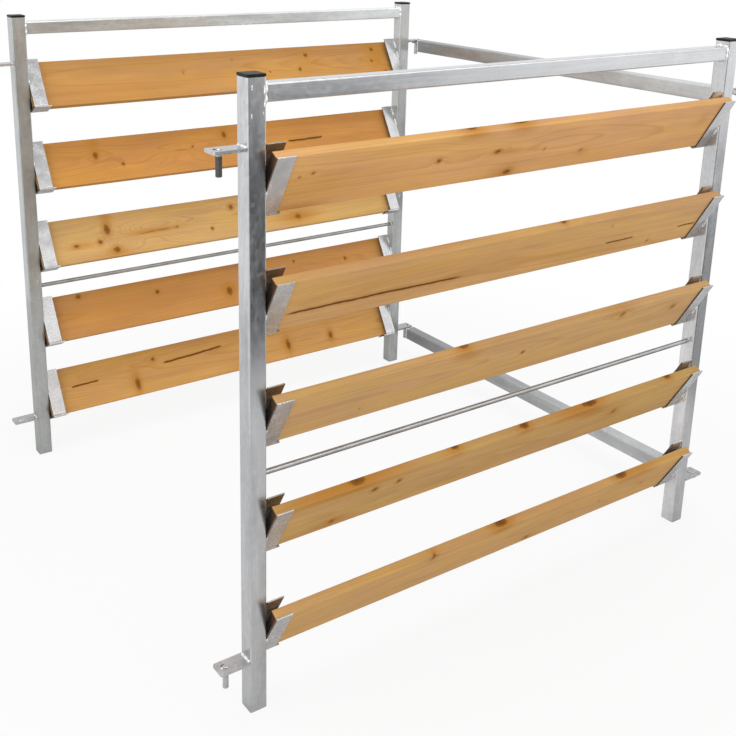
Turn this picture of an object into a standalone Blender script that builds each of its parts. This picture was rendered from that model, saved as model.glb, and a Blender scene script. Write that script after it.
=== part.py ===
"""Hay rack feeder: two slatted panels hung on two side rails.

Each panel is a pair of square tube posts with a top rail, a tie rod and a ladder of folded board holders,
and five larch boards drop into the holders from above. Flat lugs on the outer sides of the posts carry
pegs on one post and open eyes on the other, so that panels and rails hook together and swing.
"""

import math

import bmesh
import bpy
from mathutils import Matrix, Vector

# Rack, in metres. X runs along the panels, Y from the front panel to the rear one, Z up from the ground.
PANEL_LENGTH = 1.400  # outer side to outer side of a panel's two posts
RACK_DEPTH = 1.360  # front of the front posts to back of the rear posts
SEAT = 0.0003  # gap between pieces that touch

# Square tube posts.
POST_SIDE = 0.040
POST_WALL = 0.002
POST_CORNER = 0.004
POST_HEIGHT = 1.340

# Plastic plug caps on the posts.
CAP_HEIGHT = 0.006
CAP_EDGE = 0.0015
PLUG_DEPTH = 0.018

# Top rail between the posts, and the tie rod below it.
TOP_RAIL_SIDE = 0.035
TOP_RAIL_WALL = 0.002
TOP_RAIL_CORNER = 0.0035
TOP_RAIL_DROP = 0.012  # post's top to rail's top
TIE_ROD_RADIUS = 0.006
TIE_ROD_BOARD = 3  # index of the board, from the top, that the rod lies above
TIE_ROD_RAISE = 0.0575  # that board's inner top edge to the rod's axis

# Boards, leaning outwards at the top.
BOARD_COUNT = 5
BOARD_WIDTH = 0.140
BOARD_THICKNESS = 0.022
BOARD_EDGE = 0.0025
BOARD_LEAN = math.radians(30)
BOARD_OVERHANG = 0.0345  # outer top edge in front of the posts' faces
TOP_BOARD_DROP = 0.143  # post's top to the highest board's outer top edge
LOW_BOARD_HEIGHT = 0.235  # ground to the lowest board's outer top edge
BOARD_END_PLAY = 0.0009  # board's end to the post

# Holders: one strip folded to a channel that the board stands in, on a stop plate.
STRIP_WIDTH = 0.040
STRIP_GAUGE = 0.003
STRIP_BEND = 0.002  # inside radius of a fold
BOARD_PLAY = 0.0005  # board's outer face to the strip's front
BOARD_ROOM = 0.0160  # board's inner face to the strip's rear
FRONT_STRIP_RISE = 0.003  # the strip's front end above the board's top
REAR_STRIP_RISE = 0.002  # the strip's rear end above the board's top
STOP_WIDTH = 0.050
STOP_SINK = 0.001  # how far the stop plate lies below the strip's fold, and clear of its sides

# Lugs on the posts' outer sides, with their pegs and eyes.
LUG_GAUGE = 0.006
LUG_REACH = 0.068
LUG_CORNER = 0.005
UPPER_LUG_DROP = 0.126  # post's top to the upper lug's top
LOWER_LUG_TOP = 0.125
PIVOT_REACH = 0.048  # post's side to the peg's or eye's axis
EYE_RADIUS = 0.0085
PEG_RADIUS = 0.00625
PEG_DROP = 0.045  # lug's underside to the peg's tip
PEG_RISE = 0.0015  # peg's head above the lug
PEG_CHAMFER = 0.0012
PEG_BITE = 0.0006  # how far the peg stands into the wall of its hole

# Side rails between the panels, with a tongue at each end that lies under the lugs.
SIDE_RAIL_SIDE = 0.040
SIDE_RAIL_WALL = 0.002
SIDE_RAIL_CORNER = 0.004
TURN_ROOM = 0.030  # pivot's axis to the rail's end plate
END_PLATE_GAUGE = 0.003
TONGUE_GAUGE = 0.006
TONGUE_WIDTH = 0.030
TONGUE_ROOT = 0.0015  # how far the tongue stands into its end plate

# Rivets that join the side rails to the front panel.
RIVET_HEAD_RADIUS = 0.0115
RIVET_HEAD_HEIGHT = 0.0025

# Smoothness of round shapes.
CORNER_STEPS = 4
ROUND_STEPS = 32
SMOOTH_ANGLE = math.radians(35)
WELD_DISTANCE = 0.00001

PIVOT_X = PANEL_LENGTH / 2 + PIVOT_REACH
PANEL_Y = (RACK_DEPTH - POST_SIDE) / 2  # mid-plane of a panel's posts
UPPER_LUG_TOP = POST_HEIGHT - UPPER_LUG_DROP
BOARD_PITCH = (POST_HEIGHT - TOP_BOARD_DROP - LOW_BOARD_HEIGHT) / (BOARD_COUNT - 1)


def make_material(name, colour, metallic, roughness):
    """Return a plain Principled material."""
    material = bpy.data.materials.new(name)
    material.use_nodes = True
    shader = material.node_tree.nodes["Principled BSDF"]
    shader.inputs["Base Color"].default_value = (*colour, 1.0)
    shader.inputs["Metallic"].default_value = metallic
    shader.inputs["Roughness"].default_value = roughness
    return material


def arc(centre, radius, start, end, steps):
    """Return points along an arc, ends included, from one angle in degrees to another."""
    points = []
    for step in range(steps + 1):
        angle = math.radians(start + (end - start) * step / steps)
        points.append((centre[0] + radius * math.cos(angle), centre[1] + radius * math.sin(angle)))
    return points


def circle(centre, radius):
    """Return a closed round outline."""
    return arc(centre, radius, 0, 360, ROUND_STEPS)[:-1]


def rounded_square(side, radius):
    """Return a square outline about the origin with rounded corners."""
    inset = side / 2 - radius
    points = []
    for quarter in range(4):
        angle = 90 * quarter
        across = math.radians(angle + 45)
        centre = (math.copysign(inset, math.cos(across)), math.copysign(inset, math.sin(across)))
        points += arc(centre, radius, angle, angle + 90, CORNER_STEPS)
    return points


def settled_mesh(source):
    """Return the evaluated mesh of an object, welded and facing out, and remove the object."""
    bpy.context.scene.collection.objects.link(source)
    graph = bpy.context.evaluated_depsgraph_get()
    mesh = bpy.data.meshes.new_from_object(source.evaluated_get(graph))
    bpy.data.objects.remove(source)
    shape = bmesh.new()
    shape.from_mesh(mesh)
    bmesh.ops.remove_doubles(shape, verts=shape.verts, dist=WELD_DISTANCE)
    bmesh.ops.recalc_face_normals(shape, faces=shape.faces)
    shape.to_mesh(mesh)
    shape.free()
    return mesh


def flat_mesh(outlines, thickness):
    """Return the solid of an outline and its holes in the XY plane, centred on the plane."""
    curve = bpy.data.curves.new("outline", "CURVE")
    curve.dimensions = "2D"
    curve.fill_mode = "BOTH"
    curve.extrude = thickness / 2
    for outline in outlines:
        spline = curve.splines.new("POLY")
        spline.points.add(len(outline) - 1)
        for point, (x, y) in zip(spline.points, outline):
            point.co = (x, y, 0, 1)
        spline.use_cyclic_u = True
    return settled_mesh(bpy.data.objects.new("outline", curve))


def tube_mesh(side, wall, corner, length):
    """Return a square tube along Z, centred on the origin."""
    bore_corner = max(corner - wall, wall / CORNER_STEPS)
    return flat_mesh([rounded_square(side, corner), rounded_square(side - 2 * wall, bore_corner)], length)


def box_mesh(size, centre=(0, 0, 0), edge=0.0, segments=2):
    """Return a box of the given size, with all its edges rounded if edge is given."""
    shape = bmesh.new()
    bmesh.ops.create_cube(shape, size=1, matrix=Matrix.Translation(centre) @ Matrix.Diagonal((*size, 1)))
    if edge:
        bmesh.ops.bevel(shape, geom=shape.edges, offset=edge, segments=segments, profile=0.5, affect="EDGES")
    mesh = bpy.data.meshes.new("box")
    shape.to_mesh(mesh)
    shape.free()
    return mesh


def turned_mesh(profile):
    """Return the solid turned about Z from a profile of (radius, height) points, top to bottom."""
    mesh = bpy.data.meshes.new("profile")
    points = [(radius, 0, height) for radius, height in profile]
    mesh.from_pydata(points, [(i, i + 1) for i in range(len(points) - 1)], [])
    source = bpy.data.objects.new("profile", mesh)
    screw = source.modifiers.new("turn", "SCREW")
    screw.steps = ROUND_STEPS
    screw.render_steps = ROUND_STEPS
    screw.use_merge_vertices = True
    screw.merge_threshold = WELD_DISTANCE
    return settled_mesh(source)


def union_mesh(first, second):
    """Return the Boolean union of two meshes that share one frame."""
    source = bpy.data.objects.new("first", first)
    added = bpy.data.objects.new("second", second)
    bpy.context.scene.collection.objects.link(added)
    join = source.modifiers.new("join", "BOOLEAN")
    join.operation = "UNION"
    join.solver = "EXACT"
    join.object = added
    mesh = settled_mesh(source)
    bpy.data.objects.remove(added)
    return mesh


def cap_mesh():
    """Return a plug cap: a flat head at Z = 0 upwards and a plug that drops into the post's bore."""
    head = box_mesh((POST_SIDE, POST_SIDE, CAP_HEIGHT), (0, 0, CAP_HEIGHT / 2), CAP_EDGE)
    plug_side = POST_SIDE - 2 * POST_WALL - 2 * SEAT
    plug_length = PLUG_DEPTH + CAP_HEIGHT / 2
    plug = flat_mesh([rounded_square(plug_side, POST_CORNER)], plug_length)
    plug.transform(Matrix.Translation((0, 0, CAP_HEIGHT / 2 - plug_length / 2)))
    return union_mesh(head, plug)


def holder_outline():
    """Return the strip's folded section: X across the board's thickness, Y up its width."""
    front = -BOARD_THICKNESS / 2 - BOARD_PLAY
    rear = BOARD_THICKNESS / 2 + BOARD_ROOM
    floor = -BOARD_WIDTH / 2 - SEAT
    front_end = BOARD_WIDTH / 2 + FRONT_STRIP_RISE
    rear_end = BOARD_WIDTH / 2 + REAR_STRIP_RISE
    outside = STRIP_BEND + STRIP_GAUGE
    front_bend = (front + STRIP_BEND, floor + STRIP_BEND)
    rear_bend = (rear - STRIP_BEND, floor + STRIP_BEND)
    points = [(front, front_end), (front - STRIP_GAUGE, front_end)]
    points += arc(front_bend, outside, 180, 270, CORNER_STEPS)
    points += arc(rear_bend, outside, 270, 360, CORNER_STEPS)
    points += [(rear + STRIP_GAUGE, rear_end), (rear, rear_end)]
    points += arc(rear_bend, STRIP_BEND, 360, 270, CORNER_STEPS)
    points += arc(front_bend, STRIP_BEND, 270, 180, CORNER_STEPS)
    return points


def holder_mesh(side):
    """Return a holder in its board's frame, with the post's face at X = 0 and the strip towards side."""
    strip = flat_mesh([holder_outline()], STRIP_WIDTH)
    section_to_frame = Matrix(((0, 0, 1, 0), (1, 0, 0, 0), (0, 1, 0, 0), (0, 0, 0, 1)))
    offset = Matrix.Translation((side * (SEAT + STRIP_WIDTH / 2), 0, 0))
    strip.transform(offset @ section_to_frame)
    stop_length = STOP_WIDTH - STOP_SINK
    stop_depth = BOARD_THICKNESS + BOARD_PLAY + BOARD_ROOM + 2 * (STRIP_GAUGE - STOP_SINK)
    stop_x = side * (SEAT + STOP_SINK + stop_length / 2)
    stop_y = (BOARD_ROOM - BOARD_PLAY) / 2
    stop_z = -BOARD_WIDTH / 2 - SEAT - STOP_SINK - STRIP_GAUGE / 2
    stop = box_mesh((stop_length, stop_depth, STRIP_GAUGE), (stop_x, stop_y, stop_z))
    return union_mesh(strip, stop)


def lug_mesh(hole_x):
    """Return a lug plate from the post's face at X = 0, its top at Z = 0, with a round hole."""
    half = POST_SIDE / 2
    tip = LUG_REACH - LUG_CORNER
    side = half - LUG_CORNER
    outline = [(SEAT, half), (SEAT, -half)]
    outline += arc((tip, -side), LUG_CORNER, 270, 360, CORNER_STEPS)
    outline += arc((tip, side), LUG_CORNER, 0, 90, CORNER_STEPS)
    mesh = flat_mesh([outline, circle((hole_x, 0), EYE_RADIUS)], LUG_GAUGE)
    mesh.transform(Matrix.Translation((0, 0, -LUG_GAUGE / 2)))
    return mesh


def eye_lug_mesh():
    """Return a lug with an open eye on the pivot's axis."""
    return lug_mesh(PIVOT_REACH)


def peg_lug_mesh():
    """Return a lug whose peg stands on the pivot's axis, tacked to the inner wall of its hole."""
    plate = lug_mesh(PIVOT_REACH + EYE_RADIUS - PEG_RADIUS + PEG_BITE)
    tip = -LUG_GAUGE - PEG_DROP
    profile = [
        (0, PEG_RISE),
        (PEG_RADIUS - PEG_CHAMFER, PEG_RISE),
        (PEG_RADIUS, PEG_RISE - PEG_CHAMFER),
        (PEG_RADIUS, tip + PEG_CHAMFER),
        (PEG_RADIUS - PEG_CHAMFER, tip),
        (0, tip),
    ]
    peg = turned_mesh(profile)
    peg.transform(Matrix.Translation((PIVOT_REACH, 0, 0)))
    return union_mesh(plate, peg)


def tongue_mesh():
    """Return a rail's end plate and tongue: the eye's axis on Z, the lug's top at Z = 0, the rail towards +Y."""
    half = TONGUE_WIDTH / 2
    root = TURN_ROOM + TONGUE_ROOT
    outline = [(half, root), (-half, root)] + arc((0, 0), half, 180, 360, ROUND_STEPS // 2)
    tongue = flat_mesh([outline, circle((0, 0), EYE_RADIUS)], TONGUE_GAUGE)
    tongue.transform(Matrix.Translation((0, 0, -LUG_GAUGE - SEAT - TONGUE_GAUGE / 2)))
    plate = flat_mesh([rounded_square(SIDE_RAIL_SIDE, SIDE_RAIL_CORNER)], END_PLATE_GAUGE)
    upright = Matrix.Rotation(math.radians(90), 4, "X")
    place = Matrix.Translation((0, TURN_ROOM + END_PLATE_GAUGE / 2, -SIDE_RAIL_SIDE / 2))
    plate.transform(place @ upright)
    return union_mesh(plate, tongue)


def rivet_mesh():
    """Return a rivet through a lug and the tongue under it, with the lug's top at Z = 0."""
    shank = EYE_RADIUS - SEAT
    top = SEAT
    bottom = -LUG_GAUGE - TONGUE_GAUGE - 2 * SEAT
    rim = RIVET_HEAD_HEIGHT / 2
    profile = [
        (0, top + RIVET_HEAD_HEIGHT),
        (shank, top + RIVET_HEAD_HEIGHT),
        (RIVET_HEAD_RADIUS, top + rim),
        (RIVET_HEAD_RADIUS, top),
        (shank, top),
        (shank, bottom),
        (RIVET_HEAD_RADIUS, bottom),
        (RIVET_HEAD_RADIUS, bottom - rim),
        (shank, bottom - RIVET_HEAD_HEIGHT),
        (0, bottom - RIVET_HEAD_HEIGHT),
    ]
    return turned_mesh(profile)


def place(name, mesh, matrix, material, collection):
    """Add a named object that shows a mesh, turned smooth, and return it."""
    if not mesh.materials:
        mesh.materials.append(material)
        mesh.shade_smooth()
        mesh.set_sharp_from_angle(angle=SMOOTH_ANGLE)
    piece = bpy.data.objects.new(name, mesh)
    piece.matrix_world = matrix
    collection.objects.link(piece)
    return piece


def board_frame(index):
    """Return the frame at a board's centre in its panel: Y across its thickness inwards, Z up its width."""
    edge_y = -POST_SIDE / 2 - BOARD_OVERHANG
    edge_z = POST_HEIGHT - TOP_BOARD_DROP - index * BOARD_PITCH
    to_centre = Matrix.Translation((0, BOARD_THICKNESS / 2, -BOARD_WIDTH / 2))
    return Matrix.Translation((0, edge_y, edge_z)) @ Matrix.Rotation(BOARD_LEAN, 4, "X") @ to_centre


def build_panel(panel, turn, sides, meshes, finishes, collection):
    """Add one panel's pieces. The sides name its peg post, at -X in the panel's frame, and its eye post."""
    pieces = []

    def add(name, shape, matrix, finish):
        piece = place(f"{panel}_{name}", meshes[shape], turn @ matrix, finishes[finish], collection)
        pieces.append(piece)

    post_x = (PANEL_LENGTH - POST_SIDE) / 2
    along_x = Matrix.Rotation(math.radians(90), 4, "Y")
    for direction, side in zip((-1, 1), sides):
        foot = Matrix.Translation((direction * post_x, 0, 0))
        add(f"{side}_post", "post", foot @ Matrix.Translation((0, 0, POST_HEIGHT / 2)), "steel")
        add(f"{side}_cap", "cap", foot @ Matrix.Translation((0, 0, POST_HEIGHT + SEAT)), "plastic")
        outward = Matrix.Rotation(math.radians(180), 4, "Z") if direction < 0 else Matrix()
        shape = "peg_lug" if direction < 0 else "eye_lug"
        for level, top in (("upper", UPPER_LUG_TOP), ("lower", LOWER_LUG_TOP)):
            root = Matrix.Translation((direction * PANEL_LENGTH / 2, 0, top))
            add(f"{side}_{level}_lug", shape, root @ outward, "plate")
    rail_z = POST_HEIGHT - TOP_RAIL_DROP - TOP_RAIL_SIDE / 2
    add("top_rail", "top_rail", Matrix.Translation((0, 0, rail_z)) @ along_x, "steel")
    inner_edge = board_frame(TIE_ROD_BOARD) @ Vector((0, BOARD_THICKNESS / 2, BOARD_WIDTH / 2))
    rod_z = inner_edge.z + TIE_ROD_RAISE
    add("tie_rod", "tie_rod", Matrix.Translation((0, 0, rod_z)) @ along_x, "steel")
    for index in range(BOARD_COUNT):
        frame = board_frame(index)
        add(f"board_{index + 1}", "board", frame, "larch")
        for direction, side in zip((-1, 1), sides):
            root = Matrix.Translation((direction * (PANEL_LENGTH / 2 - POST_SIDE), 0, 0))
            shape = "left_holder" if direction < 0 else "right_holder"
            add(f"{side}_holder_{index + 1}", shape, root @ frame, "plate")
    return pieces


def build_side_rail(level, lug_top, meshes, finishes, collection):
    """Add one side rail with its tongues and its rivet, and return its pieces."""
    along_y = Matrix.Rotation(math.radians(90), 4, "X")
    centre = Matrix.Translation((PIVOT_X, 0, lug_top - SIDE_RAIL_SIDE / 2))
    front = Matrix.Translation((PIVOT_X, -PANEL_Y, lug_top))
    rear = Matrix.Translation((PIVOT_X, PANEL_Y, lug_top)) @ Matrix.Rotation(math.radians(180), 4, "Z")
    return [
        place(f"{level}_side_rail", meshes["side_rail"], centre @ along_y, finishes["steel"], collection),
        place(f"{level}_front_tongue", meshes["tongue"], front, finishes["plate"], collection),
        place(f"{level}_rear_tongue", meshes["tongue"], rear, finishes["plate"], collection),
        place(f"{level}_rivet", meshes["rivet"], front, finishes["plate"], collection),
    ]


def hang_on_pivot(name, position, pieces, collection):
    """Parent pieces to an empty on their hinge's axis, and return the empty."""
    pivot = bpy.data.objects.new(name, None)
    pivot.empty_display_size = POST_SIDE
    pivot.matrix_world = Matrix.Translation(position)
    collection.objects.link(pivot)
    for piece in pieces:
        piece.parent = pivot
        piece.matrix_parent_inverse = pivot.matrix_world.inverted()
    return pivot


def main():
    """Build the rack."""
    for item in list(bpy.data.objects):
        bpy.data.objects.remove(item)
    collection = bpy.data.collections.new("hay_rack_feeder")
    bpy.context.scene.collection.children.link(collection)

    finishes = {
        "steel": make_material("galvanised_steel", (0.46, 0.48, 0.50), 0.85, 0.42),
        "plate": make_material("galvanised_plate", (0.42, 0.43, 0.45), 0.85, 0.50),
        "larch": make_material("larch", (0.60, 0.35, 0.15), 0.0, 0.60),
        "plastic": make_material("black_plastic", (0.015, 0.015, 0.015), 0.0, 0.45),
    }
    clear_length = PANEL_LENGTH - 2 * POST_SIDE
    board_size = (clear_length - 2 * BOARD_END_PLAY, BOARD_THICKNESS, BOARD_WIDTH)
    rail_length = 2 * (PANEL_Y - TURN_ROOM - END_PLATE_GAUGE - SEAT)
    meshes = {
        "post": tube_mesh(POST_SIDE, POST_WALL, POST_CORNER, POST_HEIGHT),
        "cap": cap_mesh(),
        "top_rail": tube_mesh(TOP_RAIL_SIDE, TOP_RAIL_WALL, TOP_RAIL_CORNER, clear_length - 2 * SEAT),
        "tie_rod": flat_mesh([circle((0, 0), TIE_ROD_RADIUS)], clear_length - 2 * SEAT),
        "board": box_mesh(board_size, edge=BOARD_EDGE),
        "left_holder": holder_mesh(1),
        "right_holder": holder_mesh(-1),
        "peg_lug": peg_lug_mesh(),
        "eye_lug": eye_lug_mesh(),
        "side_rail": tube_mesh(SIDE_RAIL_SIDE, SIDE_RAIL_WALL, SIDE_RAIL_CORNER, rail_length),
        "tongue": tongue_mesh(),
        "rivet": rivet_mesh(),
    }

    front = Matrix.Translation((0, -PANEL_Y, 0))
    build_panel("front", front, ("left", "right"), meshes, finishes, collection)
    upper = build_side_rail("upper", UPPER_LUG_TOP, meshes, finishes, collection)
    lower = build_side_rail("lower", LOWER_LUG_TOP, meshes, finishes, collection)
    half_turn = Matrix.Rotation(math.radians(180), 4, "Z")
    rear = build_panel("rear", half_turn @ front, ("right", "left"), meshes, finishes, collection)

    upper_pivot = hang_on_pivot("upper_rail_pivot", (PIVOT_X, -PANEL_Y, UPPER_LUG_TOP), upper, collection)
    hang_on_pivot("lower_rail_pivot", (PIVOT_X, -PANEL_Y, LOWER_LUG_TOP), lower, collection)
    rear_pivot = hang_on_pivot("rear_panel_pivot", (PIVOT_X, PANEL_Y, UPPER_LUG_TOP), rear, collection)
    rear_pivot.parent = upper_pivot
    rear_pivot.matrix_parent_inverse = upper_pivot.matrix_world.inverted()


main()
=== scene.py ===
"""Looks of a hay rack feeder: galvanised tube panels that hold larch boards in folded channels.

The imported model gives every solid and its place. The boards are modelled again with their grain, knots
and cracks, the welds are added, and every solid gets its finish. All sizes are in metres: X runs along
the panels, Y from the front panel to the rear one, Z up from the ground.
"""

from __future__ import annotations

import logging
import math
from dataclasses import dataclass
from enum import Enum
from typing import Callable, Sequence, Union

import bpy
import numpy as np
from mathutils import Matrix, Vector


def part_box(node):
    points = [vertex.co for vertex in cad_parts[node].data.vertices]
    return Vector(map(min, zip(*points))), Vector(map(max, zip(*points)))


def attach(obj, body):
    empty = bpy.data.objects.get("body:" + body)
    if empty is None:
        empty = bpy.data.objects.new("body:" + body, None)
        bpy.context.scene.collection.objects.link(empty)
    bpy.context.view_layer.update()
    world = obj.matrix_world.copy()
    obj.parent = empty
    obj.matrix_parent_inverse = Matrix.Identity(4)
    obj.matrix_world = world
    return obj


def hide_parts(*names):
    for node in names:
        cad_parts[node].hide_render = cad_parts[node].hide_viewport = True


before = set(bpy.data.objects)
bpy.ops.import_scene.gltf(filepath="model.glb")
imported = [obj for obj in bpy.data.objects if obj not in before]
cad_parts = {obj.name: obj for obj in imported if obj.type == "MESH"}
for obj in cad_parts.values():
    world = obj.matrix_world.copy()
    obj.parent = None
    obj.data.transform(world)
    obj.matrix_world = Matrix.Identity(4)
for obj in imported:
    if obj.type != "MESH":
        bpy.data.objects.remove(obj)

LOG = logging.getLogger("hay_rack")
Colour = tuple[float, float, float]
Pair = tuple[float, float]
Number = Union[float, "Value"]
Box = tuple[Vector, Vector]
LEVELS = ("upper", "lower")
SIDES = ("left", "right")


# ---- Shader maths ----


def operator(operation: str, swap: bool = False) -> Callable[[Value, Number], Value]:
    """Return the method behind a Python operator, which adds one Math node.

    Args:
        operation: the Math node's operation.
        swap: put the method's own value second.

    Returns:
        The method.
    """

    def apply(self: Value, other: Number) -> Value:
        """Return the operation's result."""
        return self.math(operation, other, swap=swap)

    return apply


class Value:
    """A node socket that carries a number, with the arithmetic that adds Math nodes."""

    def __init__(self, sheet: "NodeSheet", socket: bpy.types.NodeSocket) -> None:
        """Keep the socket and the sheet that its node is on."""
        self.sheet = sheet
        self.socket = socket

    def math(self, operation: str, *others: Number, swap: bool = False) -> "Value":
        """Add one Math node.

        Args:
            operation: the Math node's operation.
            others: its further values.
            swap: put this value second instead of first.

        Returns:
            The node's result.
        """
        values = [self, *others]
        if swap:
            values[0], values[1] = values[1], values[0]
        return self.sheet.node("ShaderNodeMath", {"operation": operation}, dict(enumerate(values)))

    __add__ = __radd__ = operator("ADD")
    __mul__ = __rmul__ = operator("MULTIPLY")
    __sub__ = operator("SUBTRACT")
    __rsub__ = operator("SUBTRACT", swap=True)
    __truediv__ = operator("DIVIDE")

    def above(self, low: float, high: float) -> "Value":
        """Return 0 below low and 1 above high, with a smooth step between."""
        settings = {"interpolation_type": "SMOOTHSTEP", "clamp": True}
        inputs = {"Value": self, "From Min": low, "From Max": high, "To Min": 0.0, "To Max": 1.0}
        return self.sheet.node("ShaderNodeMapRange", settings, inputs)

    def below(self, low: float, high: float) -> "Value":
        """Return 1 below low and 0 above high, with a smooth step between."""
        return 1.0 - self.above(low, high)


class Arrow(Value):
    """A node socket that carries a vector."""

    def scaled(self, by: Union[float, Colour]) -> "Arrow":
        """Return the vector multiplied by one factor, or each of its parts by its own."""
        node = self.sheet.node("ShaderNodeVectorMath", {"operation": "MULTIPLY"}, {0: self, 1: by})
        return Arrow(self.sheet, node.socket)

    def length(self) -> Value:
        """Return the vector's length."""
        return self.sheet.node("ShaderNodeVectorMath", {"operation": "LENGTH"}, {0: self}, "Value")

    def toward(self, direction: Colour) -> Value:
        """Return how far the vector reaches along a direction."""
        inputs = {0: self, 1: direction}
        return self.sheet.node("ShaderNodeVectorMath", {"operation": "DOT_PRODUCT"}, inputs, "Value")

    def parts(self) -> list[Value]:
        """Return the vector's X, Y and Z."""
        node = self.sheet.node("ShaderNodeSeparateXYZ", {}, {0: self}).socket.node
        return [Value(self.sheet, socket) for socket in node.outputs]


class Tint(Value):
    """A node socket that carries a colour."""

    def toward(self, other: Union[Colour, "Tint"], share: Number) -> "Tint":
        """Return this colour mixed with another by a share from 0 to 1."""
        return self.sheet.mix(share, self, other)

    def times(self, other: "Tint") -> "Tint":
        """Return this colour multiplied by another."""
        return self.sheet.mix(1.0, self, other, "MULTIPLY")

    def shaded(self, by: Number) -> "Tint":
        """Return this colour made brighter or darker by a factor."""
        node = self.sheet.node("ShaderNodeVectorMath", {"operation": "SCALE"}, {0: self, "Scale": by})
        return Tint(self.sheet, node.socket)


class NodeSheet:
    """The node tree of one material or of the world, cleared and ready to be filled."""

    def __init__(self, owner: Union[bpy.types.Material, bpy.types.World]) -> None:
        """Clear the owner's nodes.

        Args:
            owner: the material or the world.
        """
        owner.use_nodes = True
        self.owner = owner
        self.tree = owner.node_tree
        self.tree.nodes.clear()

    def node(
        self,
        kind: str,
        settings: dict[str, object] | None = None,
        inputs: dict[Union[int, str], object] | None = None,
        output: Union[int, str] = 0,
    ) -> Value:
        """Add one node.

        Args:
            kind: the node's type.
            settings: its properties, set before anything else.
            inputs: numbers, vectors or values, by socket name or place.
            output: the socket to return, by name or place.

        Returns:
            The chosen output.
        """
        made = self.tree.nodes.new(kind)
        for name, setting in (settings or {}).items():
            setattr(made, name, setting)
        for key, given in (inputs or {}).items():
            if isinstance(given, Value):
                self.tree.links.new(given.socket, made.inputs[key])
                continue
            socket = made.inputs[key]
            size = len(socket.default_value) if hasattr(socket.default_value, "__len__") else 0
            if size and not hasattr(given, "__len__"):
                given = (given,) * size
            socket.default_value = (*given, 1.0) if size == 4 and len(given) == 3 else given
        return Value(self, made.outputs[output])

    def place(self) -> Arrow:
        """Return the object coordinates, which are the frame's own metres."""
        return Arrow(self, self.node("ShaderNodeTexCoord", output="Object").socket)

    def mark(self, name: str) -> Arrow:
        """Return a vector attribute of the piece."""
        return Arrow(self, self.node("ShaderNodeAttribute", {"attribute_name": name}, output="Vector").socket)

    def level(self, name: str) -> Value:
        """Return a number attribute of the piece."""
        return self.node("ShaderNodeAttribute", {"attribute_name": name}, output="Fac")

    def normal(self) -> Arrow:
        """Return the surface's own normal."""
        return Arrow(self, self.node("ShaderNodeNewGeometry", output="Normal").socket)

    def ray(self, kind: str) -> Value:
        """Return 1 for one kind of ray, which is Camera, Glossy or Transmission, and 0 for the others."""
        return self.node("ShaderNodeLightPath", output=f"Is {kind} Ray")

    def noise(
        self,
        at: Arrow,
        stretch: Union[float, Colour],
        detail: float = 2.0,
        rough: float = 0.5,
        bend: float = 0.0,
    ) -> Value:
        """Return soft noise.

        Args:
            at: where it is read.
            stretch: how many features there are to the metre, in all or along each axis.
            detail: how many finer layers it holds.
            rough: how strong the finer layers are.
            bend: how far it swirls.

        Returns:
            A value that lies about 0.5.
        """
        inputs = {"Vector": at.scaled(stretch), "Scale": 1.0, "Detail": detail}
        inputs.update({"Roughness": rough, "Distortion": bend})
        return self.node("ShaderNodeTexNoise", {"noise_dimensions": "3D"}, inputs, 0)

    def cells(self, at: Arrow, stretch: Union[float, Colour], output: str = "Distance") -> Value:
        """Return a cell pattern: the distance to the nearest seed, or each cell's own random colour."""
        inputs = {"Vector": at.scaled(stretch), "Scale": 1.0}
        return self.node("ShaderNodeTexVoronoi", {"feature": "F1"}, inputs, output)

    def mix(self, share: Number, first: object, second: object, blend: str = "MIX") -> Tint:
        """Return two colours mixed, or multiplied where blend says so.

        Args:
            share: how much of the second colour is taken, from 0 to 1.
            first: the first colour.
            second: the second colour.
            blend: MIX or MULTIPLY.

        Returns:
            The mixed colour.
        """
        settings = {"data_type": "RGBA", "blend_type": blend, "clamp_factor": True}
        made = self.node("ShaderNodeMix", settings, {"Factor": share, "A": first, "B": second}, "Result")
        return Tint(self, made.socket)

    def bump(self, height: Value, depth: float) -> Value:
        """Return the normal of a surface raised by height times depth."""
        inputs = {"Height": height, "Distance": depth, "Strength": 1.0}
        return self.node("ShaderNodeBump", {}, inputs, "Normal")

    def surface(self, **inputs: object) -> None:
        """Finish the material with a Principled shader."""
        named = {name.replace("_", " "): given for name, given in inputs.items()}
        shader = self.node("ShaderNodeBsdfPrincipled", {}, named)
        self.close(shader)

    def close(self, shader: Value) -> None:
        """Link the last shader to the output."""
        is_world = isinstance(self.owner, bpy.types.World)
        output = self.tree.nodes.new("ShaderNodeOutputWorld" if is_world else "ShaderNodeOutputMaterial")
        self.tree.links.new(shader.socket, output.inputs["Surface"])


def new_sheet(name: str) -> NodeSheet:
    """Return the empty node sheet of a new material."""
    return NodeSheet(bpy.data.materials.new(name))


# ---- Finishes ----


class Along(Enum):
    """The axis that a tube was drawn along."""

    X = 0
    Y = 1
    Z = 2

    def stretch(self, across: float, along: float) -> Colour:
        """Return how many features there are to the metre across the tube and along it, as a vector."""
        factors = [across] * 3
        factors[self.value] = along
        return (factors[0], factors[1], factors[2])


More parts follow.
